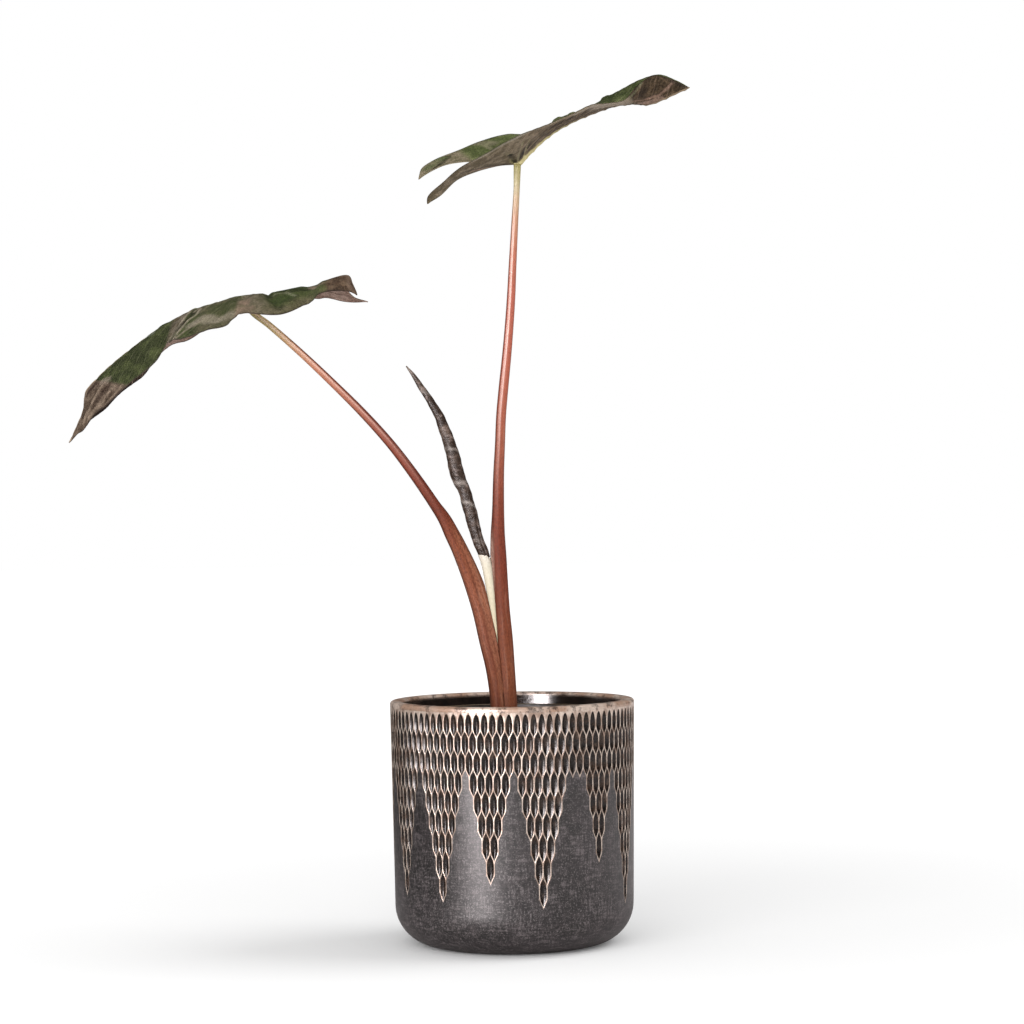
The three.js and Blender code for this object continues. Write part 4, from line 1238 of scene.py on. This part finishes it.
def paint_stalk(piece, stations, ramp):
    """Colours a stalk by the height of its centre line. The ramp has heights and colours. Returns
    each point's height on the centre line, its coordinates along the stalk and its colour."""
    points = places(piece)
    path, best = nearest_steps(points, stations)
    height = path[best, 2]
    laid = laid_along(points, path, best)
    store(piece, "laid", laid * MM)
    heights = [level for level, _ in ramp]
    shades = np.array([colour(text) for _, text in ramp])
    paint = np.stack([np.interp(height, heights, shades[:, k]) for k in range(3)], axis=1)
    return height, laid, paint * STALK_SHADE


def make_left_stalk():
    stalk = loft("leaning_stalk", LEFT_STALK, shape=left_shape)
    stalk = cut(
        stalk,
        below_crown(),
        loft("cutter_new", NEW_STALK, grow=GAP),
        loft("cutter_right", RIGHT_STALK, grow=GAP),
        blade_cutter(LEFT_BLADE),
    )
    height, laid, paint = paint_stalk(stalk, LEFT_STALK, [
        (128, "5f3322"), (166, "8b4d34"), (188, "965943"), (210, "9d5d44"), (242, "935138"), (267, "783726"),
        (294, "8e4330"), (317, "a05743"), (337, "b87058"), (355, "c88467"), (366, "cf9a76"), (377, "cbb07c"),
        (388, "bfb077"), (397, "b2aa70"),
    ])
    wing = ease(laid[:, 0], 0.8, 2.2) * ease(height, 262, 246)
    paint = tinted(paint, "9c6a50", 0.3 * wing)
    line = 0.6 + 1.8 * (height - 163) / 67
    groove = np.exp(-((laid[:, 0] - line) / 0.6) ** 2) * ease(height, 245, 232)
    paint = tinted(paint, "5d2c1f", 0.7 * groove * (laid[:, 1] > 0))
    # Painted shade: a dark line along the upper edge of the leaning part.
    upper = ease(laid[:, 0], 0.9, 1.7) * ease(height, 262, 290) * ease(height, 385, 365)
    paint = tinted(paint, "5b2318", 0.85 * upper)
    return shade_and_highlight_stalk(stalk, height, laid, paint, 0.25, 320)


def make_right_stalk():
    stalk = loft("upright_stalk", RIGHT_STALK, shape=right_shape)
    stalk = cut(
        stalk,
        below_crown(),
        loft("cutter_new", NEW_STALK, grow=GAP),
        blade_cutter(RIGHT_BLADE),
    )
    height, laid, paint = paint_stalk(stalk, RIGHT_STALK, [
        (128, "5f3a26"), (161, "8b4e34"), (198, "84462f"), (234, "823d2c"), (271, "8d4633"), (314, "aa5c44"),
        (357, "b9634e"), (394, "c16a57"), (425, "c97960"), (445, "d39b7b"), (458, "e0c09c"), (466, "dccb9f"),
        (478, "cabf80"),
    ])
    edge = ease(-laid[:, 0], 3.0, 4.6) * ease(height, 212, 226) * ease(height, 256, 244)
    paint = tinted(paint, "e3b9a6", 0.8 * edge)
    return shade_and_highlight_stalk(stalk, height, laid, paint, -0.25, 440)


def shade_and_highlight_stalk(stalk, height, laid, paint, glint, shaded_up_to):
    """Paints a highlight, a pale streak at the front, aside by the glint's share of the radius, and
    painted shade that darkens both sides up to the given height."""
    radius = np.maximum(np.hypot(laid[:, 0], laid[:, 1]), 0.1)
    aside = laid[:, 0] / radius
    front = ease(laid[:, 1] / radius, 0, 0.3) * ease(height, 250, 400) * ease(height, 452, 436)
    pale = np.exp(-((aside - glint) / 0.2) ** 2) * front
    dark = ease(-aside, 0.5, 0.85) + 0.6 * ease(aside, 0.85, 0.98)
    paint = tinted(paint, "f3d3c5", 0.65 * pale)
    paint = blend_colours(paint, paint * 0.45, 0.8 * dark * ease(height, shaded_up_to + 30, shaded_up_to))
    store(stalk, "paint", paint)
    return stalk


def make_new_stalk():
    stalk = loft("newest_stalk", NEW_STALK)
    stalk = cut(
        stalk,
        below_crown(),
        loft("cutter_rolled", ROLLED_BLADE, steps=ROLLED_CUTTER_STEPS, grow=GAP),
    )
    _, _, paint = paint_stalk(stalk, NEW_STALK, [
        (128, "b9ae84"), (190, "ded3b2"), (225, "efe6d0"), (240, "f2e9dc"),
    ])
    store(stalk, "paint", paint)
    return stalk


def stalk_look(name, dark, fine_share):
    look = Look(name)
    paint = look.stored("paint", "Color")
    laid = look.stored("laid", "Color")
    speckle = look.noise(0.75, 4, 0.65, look.scaled(1, 1, 0.45, laid))
    streak = look.noise(1.6, 3, 0.6, look.scaled(1, 1, 0.06, laid))
    low = look.span(look.height(), 240 * MM, 340 * MM, 1, 0.2)
    speckled = look.times(look.span(speckle, 0.36, 0.6, fine_share, 0), low)
    body = look.mix(speckled, paint, dark)
    body = look.mix(look.span(streak, 0.52, 0.75, 0, 0.3), body, look.mix(0.3, paint, colour("e6bda5")))
    body = look.mix(look.times(look.span(streak, 0.3, 0.46, 0.3, 0), low), body, dark)
    normal = look.bump(streak, 0.08)
    normal = look.bump(speckle, 0.015, under=normal)
    matt = look.span(look.height(), 250 * MM, 370 * MM, 1, 0)
    rough = look.math("ADD", look.span(speckle, 0.35, 0.7, 0.28, 0.4), look.times(matt, 0.25))
    tint = look.between(look.times(matt, 0.8), "ffffff", "6b3f33")
    return look.set(
        Base_Color=body, Roughness=rough, Specular_IOR_Level=0.4, Specular_Tint=tint, Normal=normal,
    )


def make_rolled_blade():
    blade = loft("rolled_leaf", ROLLED_BLADE, ROLLED_SIDES, ROLLED_STEPS, shape=rolled_shape)
    points = places(blade)
    path, best = nearest_steps(points, ROLLED_BLADE)
    centre, along = path[best], best / (len(path) - 1)
    paint = blend_colours(
        np.tile(colour("3a2c23"), (len(points), 1)), colour("65544a"), ease(waves(points, 5, 3), 0, 0.9),
    )
    # Painted highlights across the rolled leaf
    for height, strength in ROLLED_GLINTS:
        apart = points[:, 2] - height + 0.5 * (points[:, 0] - centre[:, 0]) + 2.5 * waves(points, 7, 31)
        paint = tinted(paint, "b3a79f", strength * np.exp(-(apart / 1.4) ** 2))
    paint = tinted(paint, "94847a", 0.7 * ease(along, 0.85, 1))
    store(blade, "paint", paint)
    return blade


def rolled_look():
    look = Look("leaf_rolled")
    paint = look.stored("paint", "Color")
    wrinkle = look.noise(3, 5, 0.6, look.scaled(0.7, 0.7, 1.1))
    fine = look.noise(0.5, 3, 0.6)
    # Painted shade in the hollows of the wrinkles and painted highlights on their crests, which the bump
    # raises.
    body = look.over(paint, look.span(wrinkle, 0.38, 0.55, 0.65, 0), "231914")
    body = look.over(body, look.span(wrinkle, 0.55, 0.66, 0, 0.45), "94817a")
    normal = look.bump(wrinkle, 1.1)
    normal = look.bump(fine, 0.12, under=normal)
    return look.set(Base_Color=body, Roughness=0.38, Specular_IOR_Level=0.35, Normal=normal)


# Open blades
def blade_sheet(blade, rib_steps, share_steps):
    """Points of both halves of a blade, near half first, with the width at each row. Also returns
    the shares across a half and the row where the midrib starts."""
    ribs, lobes = blade["ribs"], blade["lobes"]
    middle = rail([line[1] for line in ribs], rib_steps)
    shares = np.linspace(0, 1, share_steps + 1) ** 1.35
    joint = len(lobes) * rib_steps
    halves = []
    for notch, lobe_margin, rib_margin in ((1, 0, 0), (2, 3, 2)):
        edge = rail([line[notch] for line in lobes] + [ribs[0][1]], rib_steps)
        inner = np.vstack([edge[:-1], middle])
        outer = rail([line[lobe_margin] for line in lobes] + [line[rib_margin] for line in ribs], rib_steps)
        width = np.linalg.norm(outer - inner, axis=1)
        grid = inner[:, None] * (1 - shares)[None, :, None] + outer[:, None] * shares[None, :, None]
        crown = blade["crown"] * 4 * shares * (1 - shares)
        grid[..., 2] += crown[None] * np.minimum(1, width / FULL_CROWN_WIDTH)[:, None]
        halves.append((grid, width))
    return halves, shares, joint


def blade_points(halves, shares, joint):
    """The points of both halves, each place once, with their table of facts, and the number of the
    point at each half, row and column."""
    rows, columns = halves[0][0].shape[:2]
    index = np.zeros((2, rows, columns), int)
    points, table = [], []
    for half, (grid, width) in enumerate(halves):
        inner = grid[:, 0]
        run = np.concatenate([[0], np.cumsum(np.linalg.norm(np.diff(inner, axis=0), axis=1))])
        run -= run[joint]
        for i in range(rows):
            for j in range(columns):
                if i in (0, rows - 1) and j > 0:
                    index[half, i, j] = index[half, i, 0]
                elif half == 1 and j == 0 and i >= joint:
                    index[half, i, j] = index[0, i, j]
                elif half == 1 and i == rows - 1:
                    index[half, i, j] = index[0, i, 0]
                else:
                    index[half, i, j] = len(points)
                    points.append(grid[i, j])
                    table.append((half, run[i], shares[j], shares[j] * width[i], run[-1], width[i]))
    return np.array(points), np.array(table), index


def blade_quads(points, index):
    """Four corners of each face of the sheet, seen from above, and the normal at each point."""
    quads = []
    for half in (0, 1):
        a, b = index[half, :-1, :-1], index[half, 1:, :-1]
        c, d = index[half, 1:, 1:], index[half, :-1, 1:]
        corners = np.stack([a, b, c, d], axis=-1).reshape(-1, 4)
        quads.append(corners if half == 0 else corners[:, ::-1])
    quads = np.vstack(quads)
    p, q, r, s = (points[quads[:, k]] for k in range(4))
    face_normals = np.cross(r - p, s - q)
    if face_normals[:, 2].sum() < 0:
        quads, face_normals = quads[:, ::-1], -face_normals
    normals = np.zeros_like(points)
    for k in range(4):
        np.add.at(normals, quads[:, k], face_normals)
    return quads, unit(normals)


def skin_faces(quads, count):
    """Faces of the top, the underside and the edge between them. The underside's points come after
    the given count of points of the top."""
    used = {}
    faces = []
    for quad in quads.tolist():
        ring = [corner for i, corner in enumerate(quad) if corner != quad[i - 1]]
        if len(set(ring)) < 3:
            continue
        faces.append(tuple(ring))
        faces.append(tuple(count + corner for corner in ring[::-1]))
        for i, corner in enumerate(ring):
            used[(ring[i - 1], corner)] = True
    for a, b in list(used):
        if (b, a) not in used:
            faces.append((b, a, count + a, count + b))
    return faces


def midrib_flare(table):
    """How much the midrib is flared: 1 where it starts, and fading towards the tip."""
    return np.exp(-np.maximum(table[:, RUN], 0) / MIDRIB_FLARE_LENGTH)


def make_blade(name, blade, grow=0.0, relief=None, rib_steps=RIB_STEPS, share_steps=SHARE_STEPS):
    """The blade as one closed skin. Returns the piece and the table of its points."""
    points, table, index = blade_points(*blade_sheet(blade, rib_steps, share_steps))
    quads, normals = blade_quads(points, index)
    count = len(points)
    half_thick = BLADE_THICKNESS / 2 * (1 - 0.45 * table[:, SHARE] ** 6) + grow
    lift, veins = relief(points, table) if relief else (np.zeros(count), np.zeros(count))
    run, across = np.maximum(table[:, RUN], 0), table[:, ACROSS]
    flare = midrib_flare(table)
    rib = MIDRIB_HEIGHT * (1 - run / table[:, LENGTH]) + MIDRIB_FLARE * flare
    rib_width = MIDRIB_WIDTH + MIDRIB_FLARE_WIDTH * flare
    rib *= np.exp(-(across / rib_width) ** 2) * ease(table[:, RUN], MIDRIB_START, 2)
    top = points + normals * (half_thick + lift - 0.3 * veins - 0.2 * rib)[:, None]
    under = points - normals * (half_thick - lift + 0.35 * veins + rib)[:, None]
    piece = make_object(name, np.vstack([top, under]), skin_faces(quads, count))
    under_side = np.concatenate([np.zeros(count), np.ones(count)])
    return piece, np.hstack([np.vstack([table, table]), under_side[:, None]])


def vein_phase(table):
    """Counts the side veins: a whole number is on a vein. They leave the midrib and bend to the tip."""
    run, across = table[:, RUN], table[:, ACROSS]
    return (run - 0.62 * across - 0.0035 * across ** 2) / VEIN_SPACING


def lobe_rib(table):
    """Distance in millimetres from the line that runs down the middle of each lobe."""
    run, share, width = table[:, RUN], table[:, SHARE], table[:, WIDTH]
    line = 0.42 * ease(-run, 0, 45)
    apart = np.abs(share - line) * width
    return np.where(run < 3, apart, FAR_FROM_RIB)


def blade_relief(strokes, folds, quilting):
    """Returns a call that gives the lift and the vein depth of each point. Narrow pale strokes lift
    the leaf a little, and narrow dark ones press it down."""
    def relief(points, table):
        phase = vein_phase(table)
        apart = np.abs((phase + 0.5) % 1 - 0.5) * VEIN_SPACING
        fade = ease(table[:, RUN], 1, 8) * (1 - 0.6 * table[:, SHARE])
        veins = 0.6 * np.exp(-(apart / 0.9) ** 2) * fade
        veins = np.maximum(veins, np.exp(-(lobe_rib(table) / 1.1) ** 2) * ease(-table[:, RUN], -1, 3))
        quilt = quilting * np.sin(math.pi * np.minimum(1, apart / (VEIN_SPACING / 2))) * fade
        share = table[:, SHARE]
        ripple = 0.35 * waves(points, 14, 5) * share ** 2 + 0.12 * waves(points, 5, 6) * share
        fold = np.zeros(len(points))
        for depth, half, width, line in folds:
            fold += depth * near_line(table, half, width, line)
        for tone, strength, half, _, width, line in strokes:
            if width < 2:
                sign = 1 if colour(tone).sum() > 0.4 else -1
                fold += sign * 0.5 * strength * near_line(table, half, width, line)
        return quilt + ripple + fold, veins
    return relief


def near_line(table, half, width, line):
    """1 on a line across one half of a leaf and 0 beside it. The line goes through places that are
    each a run along the midrib and a distance from it."""
    spots = np.array(line, float)
    place = table[:, [RUN, ACROSS]]
    apart = np.full(len(table), 1e6)
    for start, end in zip(spots, spots[1:]):
        step = end - start
        along = np.clip((place - start) @ step / (step @ step), 0, 1)
        apart = np.minimum(apart, np.linalg.norm(place - start - along[:, None] * step, axis=1))
    return ease(apart, width, 0.3 * width) * (table[:, HALF] == half)


def paint_strokes(paint, points, table, strokes):
    """Paints strokes over a leaf, with slightly ragged edges."""
    ragged = 0.8 + 0.25 * waves(points, 4, 21)
    for tone, strength, half, side, width, line in strokes:
        share = near_line(table, half, width, line) * (table[:, SIDE] == side) * strength
        paint = blend_colours(paint, colour(tone), np.clip(share * ragged, 0, 1))
    return paint


def mottled(points, dark, pale, size, seed):
    """Two colours in soft, irregular patches of about the given size."""
    share = ease(field(points, size, seed) + 0.5 * field(points, size / 3, seed + 40), -0.35, 0.45)
    return blend_colours(np.tile(colour(dark), (len(points), 1)), colour(pale), share)


def dress_blade(piece, table, veined, paint):
    store(piece, "phase", vein_phase(table))
    store(piece, "veined", veined)
    rib_width = MIDRIB_WIDTH + MIDRIB_FLARE_WIDTH * midrib_flare(table)
    on_rib = table[:, RUN] > MIDRIB_START
    store(piece, "midrib", np.where(on_rib, table[:, ACROSS] / rib_width, FAR_FROM_RIB))
    store(piece, "run", table[:, RUN])
    store(piece, "share", table[:, SHARE])
    store(piece, "under", table[:, SIDE])
    store(piece, "paint", paint)


def make_left_blade():
    relief = blade_relief(LEFT_STROKES, LEFT_FOLDS, LEFT_QUILTING)
    piece, table = make_blade("leaning_leaf", LEFT_BLADE, relief=relief)
    points = places(piece)
    half, run, share, across = table[:, HALF], table[:, RUN], table[:, SHARE], table[:, ACROSS]
    paint = mottled(points, "30381a", "48502a", 9, 8)
    fold = ease(run + 0.71 * across, 105.6, 106.8)
    crease = ease(run - 0.27 * across, 28, 33) * ease(run, 47, 42) * ease(run, 20, 30)
    shoulder = ease(run, -12, 0) * ease(run, 33, 26)
    # Painted sheen: a greyish zone near the stalk, where the top reflects light.
    sheen_near_stalk = ease(run, 3, -1) * ease(run, -16, -6)
    low = ease(share, 0.62, 0.95) * ease(run, -4, -12) * ease(run, -52, -40)
    lobe_end = ease(run, -50, -60)
    for zone, dark, pale, size, seed in [
        (fold, "4c3c30", "6f5e50", 6, 9),
        (crease, "5a4f3d", "75695a", 5, 10),
        (0.8 * shoulder, "4c4c33", "686149", 7, 11),
        (0.85 * sheen_near_stalk, "5f5844", "7c705d", 3, 12),
        (0.8 * low, "585239", "6d634d", 5, 13),
        (lobe_end, "4c392b", "6d5846", 7, 14),
    ]:
        paint = blend_colours(paint, mottled(points, dark, pale, size, seed), zone)
    under = mottled(points, "a38375", "c8ab9d", 12, 4)
    # Painted shadow: the far half's underside goes almost black towards the tip.
    under = tinted(under, "33221c", ease(run, 52, 60) * (half == 1))
    paint = blend_colours(paint, under, table[:, SIDE])
    paint = paint_strokes(paint, points, table, LEFT_STROKES)
    dress_blade(piece, table, (0.25 + 0.5 * table[:, SIDE]) * (1 - fold), paint)
    return piece


def make_right_blade():
    relief = blade_relief(RIGHT_STROKES, RIGHT_FOLDS, RIGHT_QUILTING)
    piece, table = make_blade("upright_leaf", RIGHT_BLADE, relief=relief)
    points = places(piece)
    run, share, across = table[:, RUN], table[:, SHARE], table[:, ACROSS]
    top = mottled(points, "4f572d", "747a4c", 6, 2)
    top = blend_colours(top, mottled(points, "736b50", "8d8069", 4, 3), ease(run, -24, -30))
    under = mottled(points, "75674f", "a3927a", 6, 6)
    folds = ease(run, 12, 30) * ease(run, 86, 80)
    under = tinted(under, "68522f", 0.7 * folds)
    # Painted shade: dark stripes between the ridges of the folded part, which also set how strong its pale
    # margin is.
    shade_stripes = 0.5 + 0.5 * np.sin(across * 0.55 - 0.12 * run + 1.2 * waves(points, 12, 15))
    under = tinted(under, "33271a", folds * 0.9 * shade_stripes)
    under = tinted(under, "cab798", folds * ease(share, 0.8, 0.92) * (0.6 + 0.4 * shade_stripes))
    band = 0.7 * ease(run, 52, 62) * ease(run, 88, 80) * ease(share, 0.3, 0.6)
    under = tinted(under, "d5c4b0", band)
    tip = ease(run, 84, 88)
    under = blend_colours(under, mottled(points, "3f3121", "67543f", 5, 16), tip)
    paint = blend_colours(top, under, table[:, SIDE])
    paint = paint_strokes(paint, points, table, RIGHT_STROKES)
    dress_blade(piece, table, (0.25 + 0.35 * table[:, SIDE]) * (1 - 0.8 * tip), paint)
    return piece


def leaf_look():
    look = Look("leaf_open")
    paint = look.stored("paint", "Color")
    under = look.stored("under")
    run = look.stored("run")
    fine = look.noise(1.1, 5, 0.65)
    cell = look.cell_edges(2.2)
    darker = look.mix(1.0, paint, colour("8c8c88"), "MULTIPLY")
    body = look.mix(look.span(fine, 0.35, 0.62, 0.7, 0), paint, darker)
    body = look.mix(look.span(fine, 0.54, 0.74, 0, 0.15), body, look.mix(0.5, paint, colour("a79f86")))
    body = look.over(body, look.span(cell, 0.0, 0.12, 0.08, 0), "8f8570")

    wander = look.times(look.math("SUBTRACT", look.noise(7, 2), 0.5), 0.3)
    phase = look.math("ADD", look.stored("phase"), wander)
    vein = look.span(look.math("PINGPONG", phase, 0.5), 0.018, 0.06, 1, 0)
    minor = look.math("PINGPONG", look.times(phase, 4), 0.5)
    vein = look.math("MAXIMUM", vein, look.span(minor, 0.03, 0.16, 0.4, 0))
    vein = look.times(vein, look.span(run, 0, 6))
    vein = look.times(vein, look.stored("veined"))
    body = look.mix(vein, body, look.between(under, "77775a", "b79a86"))
    rib_start = look.between(under, "6f7550", "ddd09a")
    rib_tone = look.over(rib_start, look.span(run, 18, 60), "8d7a64")
    body = look.mix(look.span(look.stored("midrib"), 0.9, 1.7, 0.95, 0), body, rib_tone)
    ragged = look.times(look.math("SUBTRACT", fine, 0.5), 0.03)
    edge = look.math("ADD", look.stored("share"), ragged)
    body = look.over(body, look.span(edge, 0.97, 0.995, 0, 0.75), "2a211c")

    normal = look.bump(cell, 0.1)
    normal = look.bump(fine, 0.16, under=normal)
    rough = look.span(fine, 0.3, 0.7, 0.6, 0.72)
    return look.set(Base_Color=body, Roughness=rough, Specular_IOR_Level=0.12, Normal=normal)


# The whole part
def build_part():
    dress(make_pot(), "pot", pot_glaze())
    dress(make_nursery_pot(), "nursery_pot", nursery_plastic())
    dress(make_soil(), "soil", potting_mix())
    dress(make_corm(), "corm", corm_skin())
    red = stalk_look("stalk_red", colour("4a241a"), 0.55)
    dress(make_left_stalk(), "petiole_left", red)
    dress(make_right_stalk(), "petiole_right", red)
    cream = stalk_look("stalk_cream", colour("a59c78"), 0.25)
    dress(make_new_stalk(), "petiole_new", cream)
    leaf = leaf_look()
    dress(make_left_blade(), "blade_left", leaf)
    dress(make_right_blade(), "blade_right", leaf)
    dress(make_rolled_blade(), "blade_new", rolled_look())


# Studio
def area_light(name, place, target, width, height, power, mirrored, tone):
    light = bpy.data.lights.new(name, "AREA")
    light.shape = "RECTANGLE"
    light.size = width * MM
    light.size_y = height * MM
    light.energy = power
    light.color = colour(tone)
    made = bpy.data.objects.new(name, light)
    made.location = Vector(place) * MM
    made.rotation_euler = (Vector(target) - Vector(place)).to_track_quat("-Z", "Y").to_euler()
    made.visible_camera = False
    made.visible_diffuse = not mirrored
    made.visible_glossy = mirrored
    bpy.context.scene.collection.objects.link(made)


def make_world():
    """A soft white world. Mirrored rays see a much darker one, and the camera sees plain white."""
    world = bpy.data.worlds.new("studio")
    bpy.context.scene.world = world
    world.use_nodes = True
    tree = world.node_tree
    tree.nodes.clear()
    soft = tree.nodes.new("ShaderNodeBackground")
    white = tree.nodes.new("ShaderNodeBackground")
    for light in (soft, white):
        light.inputs["Color"].default_value = (1, 1, 1, 1)
    path = tree.nodes.new("ShaderNodeLightPath")
    mirrored = tree.nodes.new("ShaderNodeMapRange")
    mirrored.inputs["To Min"].default_value = WORLD_LIGHT
    mirrored.inputs["To Max"].default_value = WORLD_MIRRORED
    tree.links.new(path.outputs["Is Glossy Ray"], mirrored.inputs["Value"])
    tree.links.new(mirrored.outputs["Result"], soft.inputs["Strength"])
    mix = tree.nodes.new("ShaderNodeMixShader")
    out = tree.nodes.new("ShaderNodeOutputWorld")
    tree.links.new(path.outputs["Is Camera Ray"], mix.inputs[0])
    tree.links.new(soft.outputs[0], mix.inputs[1])
    tree.links.new(white.outputs[0], mix.inputs[2])
    tree.links.new(mix.outputs[0], out.inputs["Surface"])


def make_sun():
    sun = bpy.data.lights.new("sun", "SUN")
    sun.energy = SUN_LIGHT
    sun.angle = math.radians(SUN_SPREAD)
    lamp = bpy.data.objects.new("sun", sun)
    lamp.rotation_euler = Vector(SUN_PLACE).to_track_quat("Z", "Y").to_euler()
    lamp.visible_glossy = False
    bpy.context.scene.collection.objects.link(lamp)


def floor_look():
    """A pale floor. The camera, mirrored rays and other rays each see their own tone of it."""
    look = Look("floor")
    path = look.node("ShaderNodeLightPath").outputs
    seen = path["Is Camera Ray"]
    away = look.node("ShaderNodeVectorMath", operation="LENGTH")
    look.feed(away.inputs[0], look.spots)
    far = look.span(away.outputs["Value"], 150 * MM, 1200 * MM, FLOOR_GLOW, FAR_FLOOR_GLOW)
    aside = look.node("ShaderNodeSeparateXYZ")
    look.feed(aside.inputs[0], look.spots)
    pale = look.between(look.noise(400, 2), "dadada", "dcdcdc")
    to_right = look.span(aside.outputs["X"], -700 * MM, 700 * MM)
    mirrored = look.between(to_right, "303030", "dcd6d6")
    near = look.span(away.outputs["Value"], 90 * MM, 350 * MM, 1, 0)
    mirrored = look.over(mirrored, near, "a29c9c")
    unseen = look.mix(path["Is Glossy Ray"], colour("b0b0b0"), mirrored)
    return look.set(
        Base_Color=look.mix(seen, unseen, pale), Roughness=1.0, Specular_IOR_Level=0.0,
        Emission_Color=colour("ffffff"), Emission_Strength=look.times(seen, far),
    )


def make_studio():
    bpy.context.scene.view_settings.view_transform = "Standard"
    make_world()
    make_sun()
    for name, turn, rise, width, tall, power, mirrored, tone in STUDIO_LIGHTS:
        turn, rise = math.radians(turn), math.radians(rise)
        aside = Vector((math.cos(rise) * math.sin(turn), -math.cos(rise) * math.cos(turn), math.sin(rise)))
        place = Vector(LIT_PLACE) + LIGHT_DISTANCE * aside
        area_light(name, place, LIT_PLACE, width, tall, power, mirrored, tone)
    low, high = -FLOOR_HALF, FLOOR_HALF
    corners = [(low, low, 0), (high, low, 0), (high, high, 0), (low, high, 0)]
    floor = make_object("floor", corners, [(0, 1, 2, 3)])
    floor.data.materials.append(floor_look())


def make_camera():
    camera = bpy.data.objects.new("camera", bpy.data.cameras.new("camera"))
    camera.data.lens = CAMERA_LENS
    camera.data.sensor_width = SENSOR_WIDTH
    camera.data.clip_end = VIEW_DEPTH
    camera.location = Vector(CAMERA_PLACE) * MM
    turn = Matrix.Rotation(math.pi / 2, 4, "X") @ Matrix.Rotation(CAMERA_ROLL, 4, "Z")
    camera.rotation_euler = turn.to_euler()
    bpy.context.scene.collection.objects.link(camera)
    bpy.context.scene.camera = camera


make_camera()
build_part()
make_studio()
